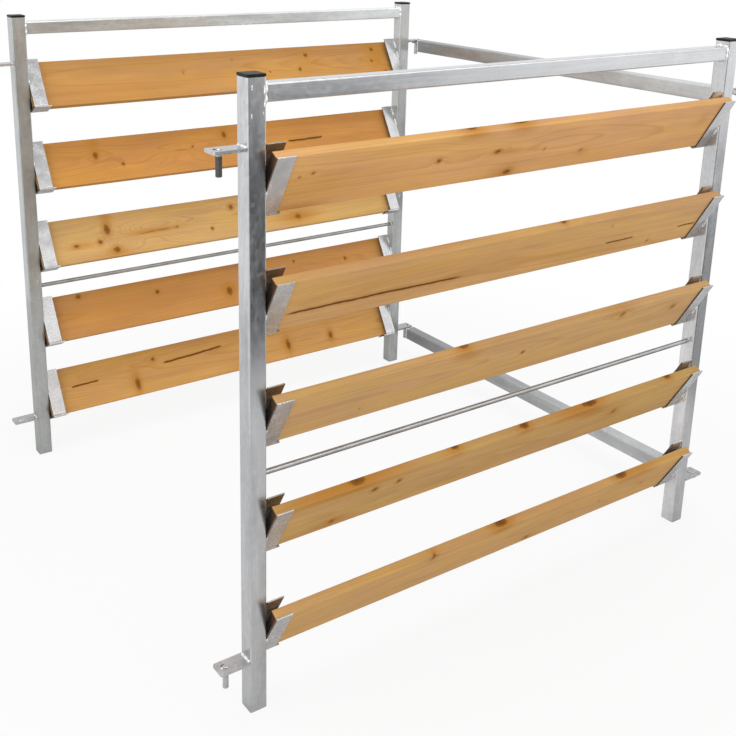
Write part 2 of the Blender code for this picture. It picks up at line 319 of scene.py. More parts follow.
@dataclass(frozen=True)
class TubeFinish:
    """Galvanised tube: faint spangle, drawn streaks, soft clouds and a few zinc specks.

    A tube along Y can get painted shade that darkens it towards +Y, and a tube along X painted light that
    brightens it towards +X. The low part of a post can have painted light on its -X side, and its middle
    painted shade on its -Y side.
    """

    name: str
    along: Along
    light: Colour = (0.66, 0.67, 0.685)
    dark: Colour = (0.45, 0.46, 0.475)
    roughness: float = 0.21
    metallic: float = 0.90
    painted_shade_far_end: float = 0.0
    painted_light_right: float = 0.0
    painted_light_left_side: float = 0.0
    painted_shade_front_side: float = 0.0
    speck: Colour = (0.90, 0.91, 0.92)

    def material(self) -> bpy.types.Material:
        """Return the material.

        Returns:
            A new material.
        """
        sheet = new_sheet(self.name)
        at = sheet.place()
        clouds = sheet.noise(at, self.along.stretch(24.0, 6.0), 4.0, 0.6, 0.4)
        streaks = sheet.noise(at, self.along.stretch(260.0, 4.0), 3.0, 0.6)
        hairs = sheet.noise(at, self.along.stretch(1100.0, 9.0), 2.0, 0.5)
        spangle = sheet.cells(at, self.along.stretch(110.0, 80.0), output="Color")
        grey = Arrow(sheet, spangle.socket).parts()[0]
        shade = clouds + streaks * 0.45 + grey * 0.14 + hairs * 0.14 - 0.37
        seed = sheet.cells(at, self.along.stretch(60.0, 42.0))
        patch = sheet.noise(at, self.along.stretch(9.0, 5.0), 2.0, 0.5)
        specks = seed.below(0.10, 0.20) * patch.above(0.60, 0.70)
        colour = sheet.mix(shade.above(0.10, 0.90), self.dark, self.light).toward(self.speck, specks * 0.5)
        # Painted shade: darker towards +Y.
        if self.painted_shade_far_end:
            colour = colour.shaded(1.0 - at.parts()[1].above(-0.75, 0.65) * self.painted_shade_far_end)
        # Painted light: brighter towards +X.
        if self.painted_light_right:
            colour = colour.shaded(at.parts()[0].above(-0.55, 0.0) * self.painted_light_right + 1.0)
        # Painted light on the -X faces of a post's low part, and painted shade on the -Y faces of its middle.
        if self.painted_light_left_side:
            normals = sheet.normal().parts()
            high = at.parts()[2]
            low = high.below(0.50, 0.98)
            middle = high.above(0.30, 0.45) * high.below(0.78, 0.98)
            colour = colour.shaded(normals[0].below(-0.9, -0.7) * low * self.painted_light_left_side + 1.0)
            colour = colour.shaded(1.0 - normals[1].below(-0.9, -0.7) * middle * self.painted_shade_front_side)
        gloss = self.roughness + (clouds - 0.5) * 0.24 + (grey - 0.5) * 0.05 + specks * 0.12
        height = grey * 0.12 + streaks * 0.55 + hairs * 0.22 + specks * 1.2
        normal = sheet.bump(height, 0.00006)
        sheet.surface(Base_Color=colour, Metallic=self.metallic, Roughness=gloss, Normal=normal)
        return sheet.owner


@dataclass(frozen=True)
class PlateFinish:
    """Galvanised flat bar and plate: small grains on satin grey, with stains.

    On the folded channels the sheared edges get painted shade, and so does the inside, with a painted brown
    reflection of the wood near the top. The inside is found by how far a point lies behind the board's outer
    face, and the top by how far it lies up the slope. Both repeat with each board: outer_edge is the Y and Z
    of one board's outer top edge, and the repeat starts a margin in front of it. A peg can get painted shade
    below its plate.
    """

    name: str = "galvanised_plate_finish"
    light: Colour = (0.64, 0.64, 0.645)
    dark: Colour = (0.42, 0.42, 0.425)
    painted_edge_shade: float = 0.0
    roughness: float = 0.32
    inside: float = 0.0
    outward: float = -1.0
    outer_edge: Pair = (0.7145, 1.197)
    board_pitch: float = 0.2405
    lean: float = math.radians(30)
    margin: float = 0.006
    channel: Pair = (0.0388, 0.0396)
    reflection_depth: Pair = (0.020, 0.026)
    reflection_height: Pair = (-0.034, -0.016)
    inside_shade_height: Pair = (-0.044, -0.010)
    metallic: float = 0.86
    relief: float = 0.00008
    grainy: float = 1.0
    painted_shade_below: float = 0.0
    painted_shade_fade: float = 0.004
    painted_peg_shade: float = 0.82
    reflected_wood: Colour = (0.30, 0.22, 0.13)

    def material(self) -> bpy.types.Material:
        """Return the material.

        Returns:
            A new material.
        """
        sheet = new_sheet(self.name)
        at = sheet.place()
        clouds = sheet.noise(at, 26.0, 4.0, 0.6, 0.4)
        grains = Arrow(sheet, sheet.cells(at, 230.0, output="Color").socket).parts()[0]
        fine = sheet.noise(at, 620.0, 2.0, 0.6)
        shade = clouds * 0.95 + grains * 0.18 * self.grainy + fine * 0.12 - 0.12
        normals = sheet.normal()
        # edge gathers painted shade: here on the faces that look along X, the channels' sheared edges.
        edge = normals.parts()[0].math("ABSOLUTE").above(0.85, 0.95) * self.painted_edge_shade
        colour = sheet.mix(shade.above(0.1, 0.9), self.dark, self.light)
        if self.inside:
            sine, cosine = math.sin(self.lean), math.cos(self.lean)
            upwards = (0.0, self.outward * sine, cosine)
            edge_y, edge_z = self.outer_edge
            start = edge_y * cosine - edge_z * sine
            behind = at.toward((0.0, -self.outward * cosine, sine)) + (start + self.margin)
            depth = behind.math("FLOORED_MODULO", self.board_pitch * sine) - self.margin
            number = (behind / (self.board_pitch * sine)).math("FLOOR")
            top = edge_y * sine + edge_z * cosine
            height = at.toward(upwards) - number * (self.board_pitch * cosine) - top
            walls = normals.toward(upwards).math("ABSOLUTE").below(0.5, 0.7)
            within = depth.above(0.0004, 0.0010) * depth.below(*self.channel) * walls
            # Painted reflection of the wood: brown near the top of the channel's inner walls.
            dust = within * depth.above(*self.reflection_depth) * height.above(*self.reflection_height)
            colour = colour.toward(self.reflected_wood, dust)
            # Painted shade on the channel's inner walls below the top.
            edge = edge.math("MAXIMUM", within * self.inside * height.below(*self.inside_shade_height))
        # Painted shade on the peg below its plate.
        if self.painted_shade_below:
            low = at.parts()[2].below(self.painted_shade_below - self.painted_shade_fade, self.painted_shade_below)
            edge = edge.math("MAXIMUM", low * self.painted_peg_shade)
        colour = colour.shaded(1.0 - edge)
        gloss = self.roughness + (clouds - 0.5) * 0.22 + (grains - 0.5) * 0.08 * self.grainy + edge * 0.3
        normal = sheet.bump(grains * 0.25 * self.grainy + fine * 0.2 * self.grainy + clouds, self.relief)
        sheet.surface(Base_Color=colour, Metallic=self.metallic, Roughness=gloss, Normal=normal)
        return sheet.owner


@dataclass(frozen=True)
class RodFinish:
    """Drawn round bar: duller zinc with streaks along it and darker stretches."""

    name: str
    light: Colour = (0.58, 0.585, 0.59)
    dark: Colour = (0.34, 0.345, 0.35)

    def material(self) -> bpy.types.Material:
        """Return the material.

        Returns:
            A new material.
        """
        sheet = new_sheet(self.name)
        at = sheet.place()
        streaks = sheet.noise(at, (10.0, 420.0, 420.0), 3.0, 0.6)
        patches = sheet.noise(at, (22.0, 60.0, 60.0), 3.0, 0.6)
        colour = sheet.mix((streaks * 0.6 + patches * 0.7 - 0.15).above(0.2, 0.8), self.dark, self.light)
        normal = sheet.bump(streaks + patches, 0.00005)
        sheet.surface(Base_Color=colour, Metallic=0.9, Roughness=0.34 + (patches - 0.5) * 0.2, Normal=normal)
        return sheet.owner


@dataclass(frozen=True)
class WeldFinish:
    """Weld beads under a coat of bright zinc, with small pits and soot in the hollows."""

    name: str = "weld_bead_finish"
    light: Colour = (0.86, 0.86, 0.85)
    dark: Colour = (0.33, 0.32, 0.31)

    def material(self) -> bpy.types.Material:
        """Return the material.

        Returns:
            A new material.
        """
        sheet = new_sheet(self.name)
        at = sheet.place()
        lumps = sheet.noise(at, 170.0, 3.0, 0.6)
        pits = sheet.noise(at, 900.0, 2.0, 0.6)
        colour = sheet.mix(lumps.above(0.30, 0.52), self.dark, self.light)
        normal = sheet.bump(lumps + pits * 0.4, 0.0004)
        sheet.surface(Base_Color=colour, Metallic=0.6, Roughness=0.38 + pits * 0.2, Normal=normal)
        return sheet.owner


@dataclass(frozen=True)
class CapFinish:
    """Moulded black plastic with a fine grain and dust on its flat top."""

    name: str = "black_plastic_finish"
    black: Colour = (0.005, 0.005, 0.0055)
    dust: Colour = (0.016, 0.016, 0.016)

    def material(self) -> bpy.types.Material:
        """Return the material.

        Returns:
            A new material.
        """
        sheet = new_sheet(self.name)
        at = sheet.place()
        grain = sheet.noise(at, 1500.0, 2.0, 0.5)
        patches = sheet.noise(at, 60.0, 3.0, 0.6)
        colour = sheet.mix(patches.above(0.45, 0.8), self.black, self.dust)
        normal = sheet.bump(grain, 0.00006)
        gloss = 0.34 + patches * 0.25
        sheet.surface(Base_Color=colour, Specular_IOR_Level=0.2, Roughness=gloss, Normal=normal)
        return sheet.owner


@dataclass(frozen=True)
class LarchFinish:
    """Planed larch: growth rings, fibres, knots with collars, resin stains, cracks and dark end grain, with
    painted shade where the end grain lies deep behind the outer face.
    """

    name: str = "larch_finish"
    early: Colour = (0.66, 0.405, 0.182)
    late: Colour = (0.48, 0.245, 0.080)
    resin: Colour = (0.45, 0.195, 0.030)
    knot: Colour = (0.165, 0.058, 0.005)
    crack: Colour = (0.110, 0.042, 0.004)
    golden: Colour = (1.07, 1.04, 0.80)
    rosy: Colour = (0.975, 0.92, 0.97)
    end_light: Colour = (0.075, 0.036, 0.018)
    end_shade: Colour = (0.010, 0.006, 0.004)

    def material(self) -> bpy.types.Material:
        """Return the material.

        Returns:
            A new material, which reads the fields that each board carries.
        """
        sheet = new_sheet(self.name)
        plank = sheet.mark("plank")
        knots = sheet.mark("knot")
        wander = sheet.noise(plank, (3.0, 34.0, 34.0), 2.0, 0.5)
        rings = sheet.level("rings") + (wander - 0.5) * 1.6
        phase = rings.math("FRACT")
        line = phase.above(0.35, 0.88) * phase.below(0.90, 1.0)
        whole = {"W": rings.math("FLOOR")}
        year = sheet.node("ShaderNodeTexWhiteNoise", {"noise_dimensions": "1D"}, whole, "Value")
        fibre = sheet.noise(plank, (9.0, 700.0, 700.0), 2.0, 0.6)
        flow = sheet.noise(plank, (1.6, 55.0, 55.0), 3.0, 0.55)
        cloud = sheet.noise(plank, (5.0, 18.0, 18.0), 3.0, 0.55)
        grain = line * (year * 0.32 + 0.06) + (flow - 0.5) * 0.75 + (fibre - 0.5) * 0.45
        wood = sheet.mix(grain + 0.18, self.early, self.late)
        wood = wood.shaded(0.86 + cloud * 0.28)
        wood = wood.times(Tint(sheet, sheet.mark("tone").socket))
        broad = sheet.noise(plank, (2.6, 15.0, 15.0), 3.0, 0.6, 0.6)
        hue = broad * 0.6 + sheet.noise(plank, (7.0, 95.0, 95.0), 3.0, 0.6) * 0.4
        wood = wood.times(sheet.mix(hue.above(0.36, 0.64), self.golden, self.rosy))
        stain = sheet.level("stain") * (0.45 + flow * 1.1)
        wood = wood.toward(self.resin, stain.math("MINIMUM", 0.85))
        ragged = knots.length() + (sheet.noise(plank, (150.0, 210.0, 210.0), 3.0, 0.6) - 0.5) * 1.3
        collar = ragged.below(0.7, 3.2)
        heart = ragged.below(0.50, 1.35) * sheet.level("heart") * 1.2
        swirl = (ragged * 9.0).math("SINE") * 0.5 + 0.5
        wood = wood.toward(self.resin, collar * sheet.level("heart") * 0.72)
        wood = wood.toward(self.knot, heart * (0.80 + swirl * 0.20))
        across, reach, guard = sheet.mark("check").parts()
        waver = (sheet.noise(plank, (24.0, 3.0, 3.0), 3.0, 0.6) - 0.5) * 2.2
        gap = (across + waver).math("ABSOLUTE") + guard
        thin = 0.35 + sheet.noise(plank, (30.0, 2.0, 2.0), 2.0, 0.6) * 0.9
        split = gap / thin
        crack = split.below(0.8, 1.7) * reach.below(0.86, 1.0)
        wood = wood.toward(self.resin, split.below(1.2, 4.5) * reach.below(0.8, 1.02) * 0.6)
        wood = wood.toward(self.crack, crack * 0.92)
        cut = sheet.level("cut")
        painted_end_shade = sheet.level("painted_end_shade")
        # Painted shade: the end grain turns near black where it lies deep behind the outer face, beside the
        # post.
        end = sheet.mix(painted_end_shade, self.end_light, self.end_shade).shaded(0.7 + line * 0.6)
        wood = wood.toward(end, cut)
        gloss = 0.58 + (grain - 0.2) * 0.12 + heart * -0.10 + cut * 0.2
        height = line * -0.25 + fibre * 0.5 + heart * 0.8 - crack * 9.0
        normal = sheet.bump(height, 0.00022)
        sheet.surface(Base_Color=wood, Roughness=gloss, Specular_IOR_Level=0.12, Normal=normal)
        return sheet.owner


# ---- Meshes ----


def grid_faces(rows: int, columns: int, closed_rows: bool = False) -> np.ndarray:
    """Return the faces of a grid whose columns run round in a loop.

    Args:
        rows: how many loops of points there are.
        columns: how many points a loop has.
        closed_rows: join the last loop to the first.

    Returns:
        An array of four point numbers for each face.
    """
    count = rows if closed_rows else rows - 1
    row, column = np.meshgrid(np.arange(count), np.arange(columns), indexing="ij")
    after, beside = (row + 1) % rows, (column + 1) % columns
    this, other = row * columns, after * columns
    return np.stack((this + column, other + column, other + beside, this + beside), -1).reshape(-1, 4)


def mesh_from_grid(name: str, points: np.ndarray, faces: np.ndarray) -> bpy.types.Object:
    """Return a smooth object from a grid, with the points that fell together made one.

    Args:
        name: the piece's name.
        points: an array of X, Y, Z rows.
        faces: an array of four point numbers for each face.

    Returns:
        The new object, linked to the scene.
    """
    _, first, index = np.unique(np.round(points, 7), axis=0, return_index=True, return_inverse=True)
    index = index.reshape(-1)[faces]
    kept = [[int(p) for p in dict.fromkeys(row)] for row in index.tolist()]
    mesh = bpy.data.meshes.new(name)
    mesh.from_pydata(points[first].tolist(), [], [row for row in kept if len(row) > 2])
    mesh.polygons.foreach_set("use_smooth", np.ones(len(mesh.polygons), bool))
    mesh.update()
    piece = bpy.data.objects.new(name, mesh)
    bpy.context.scene.collection.objects.link(piece)
    return piece


@dataclass(frozen=True)
class Knot:
    """A branch's trace through a board, in metres from the board's left end and down from its top edge.

    A knot that doesn't run through the whole board has its middle across the thickness and its depth.
    """

    along: float
    down: float
    radius: float
    tilt_along: float = 0.0
    tilt_down: float = 0.0
    tall: float = 1.0
    strength: float = 0.8
    across: float = 0.0
    deep: float = 1.0

    def offset(self, chart: Sequence[np.ndarray]) -> tuple[np.ndarray, np.ndarray]:
        """Return how far points lie from the branch's line, along the board and down it."""
        along, across, down = chart
        return along - self.along - self.tilt_along * across, down - self.down - self.tilt_down * across


def edge_knot(along: float, radius: float, across: float, deep: float, strength: float = 0.9) -> Knot:
    """Return a shallow, flattened knot that shows on a board's top edge."""
    return Knot(along, 0.0, radius, tall=0.5, strength=strength, across=across, deep=deep)


@dataclass(frozen=True)
class Stain:
    """A soft patch of resin: its centre, its reach along and down the board, and its strength."""

    along: float
    down: float
    reach_along: float
    reach_down: float
    strength: float


@dataclass(frozen=True)
class Check:
    """A drying crack on one face: its ends, how far its middle bows down, and its width."""

    start: float
    end: float
    down: float
    fall: float = 0.0
    bow: float = 0.0
    width: float = 0.0022
    inner: bool = False


@dataclass
class Board:
    """One larch board: a slightly uneven plank with rounded edges, which leans out at its top."""

    panel: str
    number: int
    tone: Colour
    pith: Pair
    drift: Pair
    knots: Sequence[Knot] = ()
    stains: Sequence[Stain] = ()
    checks: Sequence[Check] = ()
    length: float = 1.3182
    thickness: float = 0.022
    width: float = 0.140
    edge: float = 0.0025
    lean: float = math.radians(30)
    ring_pitch: float = 0.0042
    cell: float = 0.0052
    end_rings: int = 7
    edge_steps: int = 3

    @property
    def node(self) -> str:
        """Return the name of the solid that this board stands for."""
        return f"{self.panel}_board_{self.number}"

    def section(self) -> tuple[np.ndarray, np.ndarray]:
        """Return the loop round the board's section: core points and outward directions.

        The loop is a rectangle drawn in by the edge radius, and each point moves out from it along its
        direction, which turns through a quarter at each corner.

        Returns:
            Two arrays of the same length, with two numbers for each point of the loop.
        """
        half = np.array([self.thickness, self.width]) / 2 - self.edge
        core, out = [], []
        corners = np.array([(-1, -1), (1, -1), (1, 1), (-1, 1)]) * half
        for turn in range(4):
            start, end = corners[turn], corners[(turn + 1) % 4]
            steps = max(2, round(float(np.linalg.norm(end - start)) / self.cell))
            share = np.linspace(0, 1, steps + 1)[:, None]
            normal_angle = math.pi * (turn - 1) / 2
            core.append(start + (end - start) * share)
            out.append(np.tile([math.cos(normal_angle), math.sin(normal_angle)], (steps + 1, 1)))
            angles = normal_angle + np.linspace(0, math.pi / 2, self.edge_steps + 2)[1:-1]
            core.append(np.tile(end, (len(angles), 1)))
            out.append(np.stack([np.cos(angles), np.sin(angles)], 1))
        return np.concatenate(core), np.concatenate(out)

    def stations(self) -> tuple[np.ndarray, np.ndarray, np.ndarray]:
        """Return, for each loop along the board, its X, how far it is drawn in at the edge, and its scale.

        The loops start at the middle of one end, grow to its rim, round the edge, run the board's length
        and close the other end the same way.

        Returns:
            Three arrays with one number for each loop.
        """
        grow = np.linspace(0, 1, self.end_rings + 1)[:-1]
        turn = np.linspace(0, math.pi / 2, self.edge_steps + 2)
        steps = round((self.length - 2 * self.edge) / self.cell)
        run = np.linspace(-self.length / 2 + self.edge, self.length / 2 - self.edge, steps + 1)[1:-1]
        rim = self.edge * (1 - np.cos(turn))
        x = np.concatenate([np.full(len(grow), -self.length / 2), -self.length / 2 + rim])
        inset = np.concatenate([np.full(len(grow), self.edge), self.edge * (1 - np.sin(turn))])
        scale = np.concatenate([grow, np.ones(len(turn))])
        x = np.concatenate([x, run, -x[::-1]])
        inset = np.concatenate([inset, np.zeros(len(run)), inset[::-1]])
        scale = np.concatenate([scale, np.ones(len(run)), scale[::-1]])
        return x, inset, scale

    def points(self) -> np.ndarray:
        """Return the plank's grid in its own frame: X along, Y across its thickness inwards, Z up its width.

        Each point is the section's core plus its direction times what is left of the edge radius, less a
        hollow of up to 0.4 mm that follows slow waves along and across the board.

        Returns:
            An array of loops, of points in each loop, and of X, Y and Z.
        """
        core, out = self.section()
        x, inset, scale = self.stations()
        seed = self.number + (5 if self.panel == "rear" else 0)
        waves = np.sin(x * 7.3 + seed * 2.1)[:, None] * np.sin(core[:, 1] * 31 + seed)[None, :]
        waves = waves + np.sin(x * 23.0 + seed * 4.7)[:, None] * np.cos(core[:, 1] * 17)[None, :]
        hollow = 0.0001 * (2 + waves) * (scale[:, None] >= 1)
        reach = (self.edge - inset)[:, None] - np.minimum(hollow, (self.edge - inset)[:, None])
        flat = core[None] * scale[:, None, None] + out[None] * reach[:, :, None]
        along = np.repeat(x[:, None], len(core), 1)
        return np.concatenate([along[:, :, None], flat], 2)

    def place(self) -> Matrix:
        """Return the matrix from the plank's frame to the rack's."""
        low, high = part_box(self.node)
        facing = Matrix.Rotation(math.pi, 4, "Z") if self.panel == "rear" else Matrix()
        return Matrix.Translation((low + high) / 2) @ facing @ Matrix.Rotation(self.lean, 4, "X")

    def chart(self, points: np.ndarray) -> tuple[np.ndarray, np.ndarray, np.ndarray]:
        """Return where points lie: from the left end, across from the outer face, and down from the top."""
        side = -1 if self.panel == "rear" else 1
        along = points[:, 0] * side + self.length / 2
        return along, points[:, 1] + self.thickness / 2, self.width / 2 - points[:, 2]

    def ring_field(self, points: np.ndarray) -> np.ndarray:
        """Return how many growth rings lie between the pith and each point.

        The pith is a line that drifts along the board. A ring count is the distance from that line over
        the ring pitch. Round each knot a bell curve pushes it away, to one side above the knot's middle and
        to the other below.

        Args:
            points: X, Y, Z rows in the plank's own frame.

        Returns:
            One number for each point.
        """
        along, across, down = self.chart(points)
        share = along / self.length - 0.5
        pith_y = self.pith[0] + self.drift[0] * share + 0.004 * np.sin(along * 5.1 + self.number)
        pith_z = self.pith[1] + self.drift[1] * share + 0.006 * np.sin(along * 3.3 + self.number * 2)
        far = np.hypot(across - pith_y, down - pith_z)
        for knot in self.knots:
            du, dv = knot.offset((along, across, down))
            du, dv = du / (knot.radius * 4.2), dv / (knot.radius * 2.2)
            far = far + knot.radius * 0.8 * np.exp(-du * du - dv * dv) * np.tanh(dv * 4)
        return far / self.ring_pitch

    def knot_field(self, points: np.ndarray) -> tuple[np.ndarray, np.ndarray]:
        """Return each point's offset from the nearest knot's middle in knot radii, and that knot's strength.

        The offset's third part is a guard that keeps it long halfway between two knots, where the offsets
        change over.

        Args:
            points: X, Y, Z rows in the plank's own frame.

        Returns:
            An array of offsets with three parts, and an array of strengths.
        """
        along, across, down = self.chart(points)
        best = np.full((len(points), 3), 9.0)
        heart = np.full(len(points), 0.8)
        reach = np.full(len(points), 9.0)
        for knot in self.knots:
            du, dv = knot.offset((along, across, down))
            du, dv = du / knot.radius, dv / (knot.radius * knot.tall)
            dw = np.abs(across - knot.across) / knot.deep
            far = np.sqrt(du * du + dv * dv + dw * dw)
            near = far < reach
            guard = np.maximum(np.clip((far - 2.0) * 4, 0, 12), dw)
            best[near] = np.stack([du, dv, guard], 1)[near]
            heart[near] = knot.strength
            reach = np.minimum(reach, far)
        return best, heart

    def stain_field(self, points: np.ndarray) -> np.ndarray:
        """Return the sum of bell curves over the stains.

        Args:
            points: X, Y, Z rows in the plank's own frame.

        Returns:
            One number for each point.
        """
        along, _, down = self.chart(points)
        total = np.zeros(len(points))
        for stain in self.stains:
            du = (along - stain.along) / stain.reach_along
            dv = (down - stain.down) / stain.reach_down
            total = total + stain.strength * np.exp(-du * du - dv * dv)
        return total

    def check_field(self, points: np.ndarray) -> np.ndarray:
        """Return where each point lies by its nearest crack.

        The parts are the distance across the crack in half widths, the distance from its middle in half
        lengths, and a guard that grows away from the crack and on the board's other face.

        Args:
            points: X, Y, Z rows in the plank's own frame.

        Returns:
            Three numbers for each point.
        """
        along, across, down = self.chart(points)
        best = np.tile([9.0, 2.0, 9.0], (len(points), 1))
        reach = np.full(len(points), 9.0)
        for check in self.checks:
            middle, half = (check.start + check.end) / 2, (check.end - check.start) / 2
            share = (along - middle) / half
            line = check.down + check.fall * share + check.bow * (1 - share * share)
            off = down - line
            face = across > self.thickness - 0.004 if check.inner else across < 0.004
            far = np.abs(off) + np.maximum(np.abs(share) - 1, 0) * half + np.where(face, 0, 1.0)
            near = far < reach
            guard = np.clip((far - 0.016) / 0.002, 0, 6) + np.where(face, 0.0, 6.0)
            best[near] = np.stack([off / (check.width / 2), np.abs(share), guard], 1)[near]
            reach = np.minimum(reach, far)
        return best

    def build(self, finish: bpy.types.Material) -> bpy.types.Object:
        """Build the board, give it its fields and its finish, and set it in its solid's place.

        Args:
            finish: the larch material.

        Returns:
            The board.
        """
        grid = self.points()
        rows, columns = grid.shape[:2]
        name = f"{self.panel}_larch_board_{self.number}"
        piece = mesh_from_grid(name, grid.reshape(-1, 3), grid_faces(rows, columns))
        mesh = piece.data
        points = np.empty(len(mesh.vertices) * 3)
        mesh.vertices.foreach_get("co", points)
        points = points.reshape(-1, 3)
        along, across, down = self.chart(points)
        shift = np.array([self.number * 3.7 + (19.0 if self.panel == "rear" else 0.0), 0, 0])
        end_gap = self.length / 2 - np.abs(points[:, 0])
        knot, heart = self.knot_field(points)
        # How deep a point lies behind the outer face, which sets the painted shade on the end grain.
        painted_end_shade = across * math.cos(self.lean) + down * math.sin(self.lean)
        fields = {
            "plank": np.stack([along, across, down], 1) + shift,
            "knot": knot,
            "heart": heart,
            "check": self.check_field(points),
            "tone": np.array(self.tone) * (1 - 0.17 * np.clip((self.edge - down) / self.edge, 0, 1))[:, None],
            "rings": self.ring_field(points),
            "stain": self.stain_field(points),
            "cut": np.clip((0.0012 - end_gap) / 0.0008, 0, 1),
            "painted_end_shade": np.clip((painted_end_shade - 0.012) / 0.010, 0, 1),
        }
        for field, values in fields.items():
            kind, key = ("FLOAT_VECTOR", "vector") if values.ndim == 2 else ("FLOAT", "value")
            layer = mesh.attributes.new(field, kind, "POINT")
            layer.data.foreach_set(key, values.astype(np.float32).ravel())
        mesh.transform(self.place())
        mesh.materials.append(finish)
        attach(piece, self.node)
        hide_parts(self.node)
        counts = len(points), len(self.knots), len(self.checks)
        LOG.info("board %s: %d points, %d knots, %d cracks", name, *counts)
        return piece


# ---- Boards of this rack ----


def front_boards() -> list[Board]:
    """Return the front panel's boards, from the top down.

    Returns:
        Five boards.
    """
    return [
        Board(
            "front", 1, (1.08, 1.04, 1.04), (0.075, 0.06), (0.02, 0.03),
            knots=(
                edge_knot(0.474, 0.015, 0.02, 0.007), edge_knot(0.612, 0.024, 0.021, 0.006),
                Knot(0.404, 0.063, 0.0055), Knot(0.564, 0.06, 0.0085, tall=0.6),
                Knot(0.094, 0.049, 0.004, strength=0.55), Knot(0.065, 0.055, 0.003, strength=0.5),
                Knot(0.834, 0.092, 0.0045, strength=0.4), Knot(0.624, 0.126, 0.0105, 0.3, 0.2, 0.7, 0.75),
                Knot(0.708, 0.072, 0.004, strength=0.35),
            ),
            stains=(
                Stain(0.475, 0.002, 0.045, 0.012, 0.75), Stain(0.61, 0.0, 0.04, 0.01, 0.8),
                Stain(0.6, 0.064, 0.045, 0.008, 0.45), Stain(0.612, 0.122, 0.045, 0.02, 0.5),
                Stain(0.09, 0.139, 0.06, 0.012, 0.8), Stain(1.235, 0.045, 0.02, 0.02, 0.35),
                Stain(0.1, 0.09, 0.22, 0.05, 0.35), Stain(0.84, 0.095, 0.02, 0.015, 0.3),
            ),
        ),
        Board(
            "front", 2, (1.0, 1.03, 1.04), (0.085, 0.095), (-0.02, 0.035),
            knots=(
                edge_knot(0.764, 0.009, 0.02, 0.007), Knot(1.116, 0.118, 0.0045, strength=0.5),
                Knot(0.93, 0.03, 0.003, strength=0.4),
            ),
            stains=(Stain(0.3, 0.06, 0.4, 0.05, 0.28), Stain(0.72, 0.09, 0.3, 0.02, 0.2)),
            checks=(
                Check(0.04, 0.505, 0.096, 0.001, -0.002, 0.005),
                Check(0.945, 1.045, 0.09, -0.001, 0.001, 0.0036),
                Check(1.208, 1.275, 0.086, -0.001, 0.0, 0.0034),
            ),
        ),
        Board(
            "front", 3, (0.96, 1.01, 1.08), (0.07, 0.05), (0.025, -0.03),
            knots=(
                edge_knot(0.484, 0.013, 0.018, 0.007, 0.75), Knot(0.682, 0.065, 0.0052),
                Knot(0.992, 0.02, 0.0085, strength=0.55), Knot(1.2, 0.049, 0.0078, strength=0.6),
                Knot(0.235, 0.105, 0.003, strength=0.4),
            ),
            stains=(
                Stain(0.48, 0.004, 0.03, 0.025, 0.5), Stain(0.97, 0.01, 0.055, 0.014, 0.55),
                Stain(0.512, 0.02, 0.025, 0.015, 0.3), Stain(1.19, 0.045, 0.035, 0.02, 0.3),
            ),
        ),
        Board(
            "front", 4, (0.89, 0.94, 0.88), (0.06, 0.08), (0.03, 0.02),
            knots=(
                Knot(0.256, 0.035, 0.0075), Knot(0.32, 0.033, 0.0065),
                edge_knot(0.206, 0.02, 0.016, 0.01, 0.85), edge_knot(0.474, 0.011, 0.019, 0.007),
                edge_knot(0.684, 0.013, 0.015, 0.01), Knot(0.172, 0.116, 0.0075, strength=0.6),
                edge_knot(0.905, 0.024, 0.016, 0.01), Knot(1.016, 0.059, 0.0085, strength=0.55),
                edge_knot(1.195, 0.013, 0.018, 0.008),
            ),
            stains=(
                Stain(0.18, -0.002, 0.16, 0.022, 1.0), Stain(0.86, 0.006, 0.085, 0.022, 0.9),
                Stain(0.93, 0.03, 0.055, 0.012, 0.7), Stain(0.172, 0.118, 0.05, 0.02, 0.6),
                Stain(1.02, 0.06, 0.04, 0.025, 0.45), Stain(0.47, 0.0, 0.03, 0.02, 0.5),
                Stain(0.68, 0.005, 0.03, 0.018, 0.5),
            ),
        ),
        Board(
            "front", 5, (0.98, 0.99, 0.92), (0.08, 0.07), (-0.025, -0.03),
            knots=(
                Knot(0.418, 0.004, 0.005, 0.2, 1.0, 2.2), edge_knot(0.63, 0.02, 0.016, 0.01),
                Knot(0.768, 0.121, 0.0062), edge_knot(1.05, 0.02, 0.016, 0.01),
                Knot(1.164, 0.07, 0.0045, strength=0.6), Knot(1.008, 0.082, 0.004, strength=0.5),
            ),
            stains=(
                Stain(0.63, 0.0, 0.04, 0.022, 0.7), Stain(1.11, 0.006, 0.06, 0.02, 0.7),
                Stain(1.16, 0.07, 0.05, 0.02, 0.3), Stain(0.42, 0.01, 0.02, 0.02, 0.4),
                Stain(0.77, 0.12, 0.03, 0.015, 0.4),
            ),
        ),
    ]


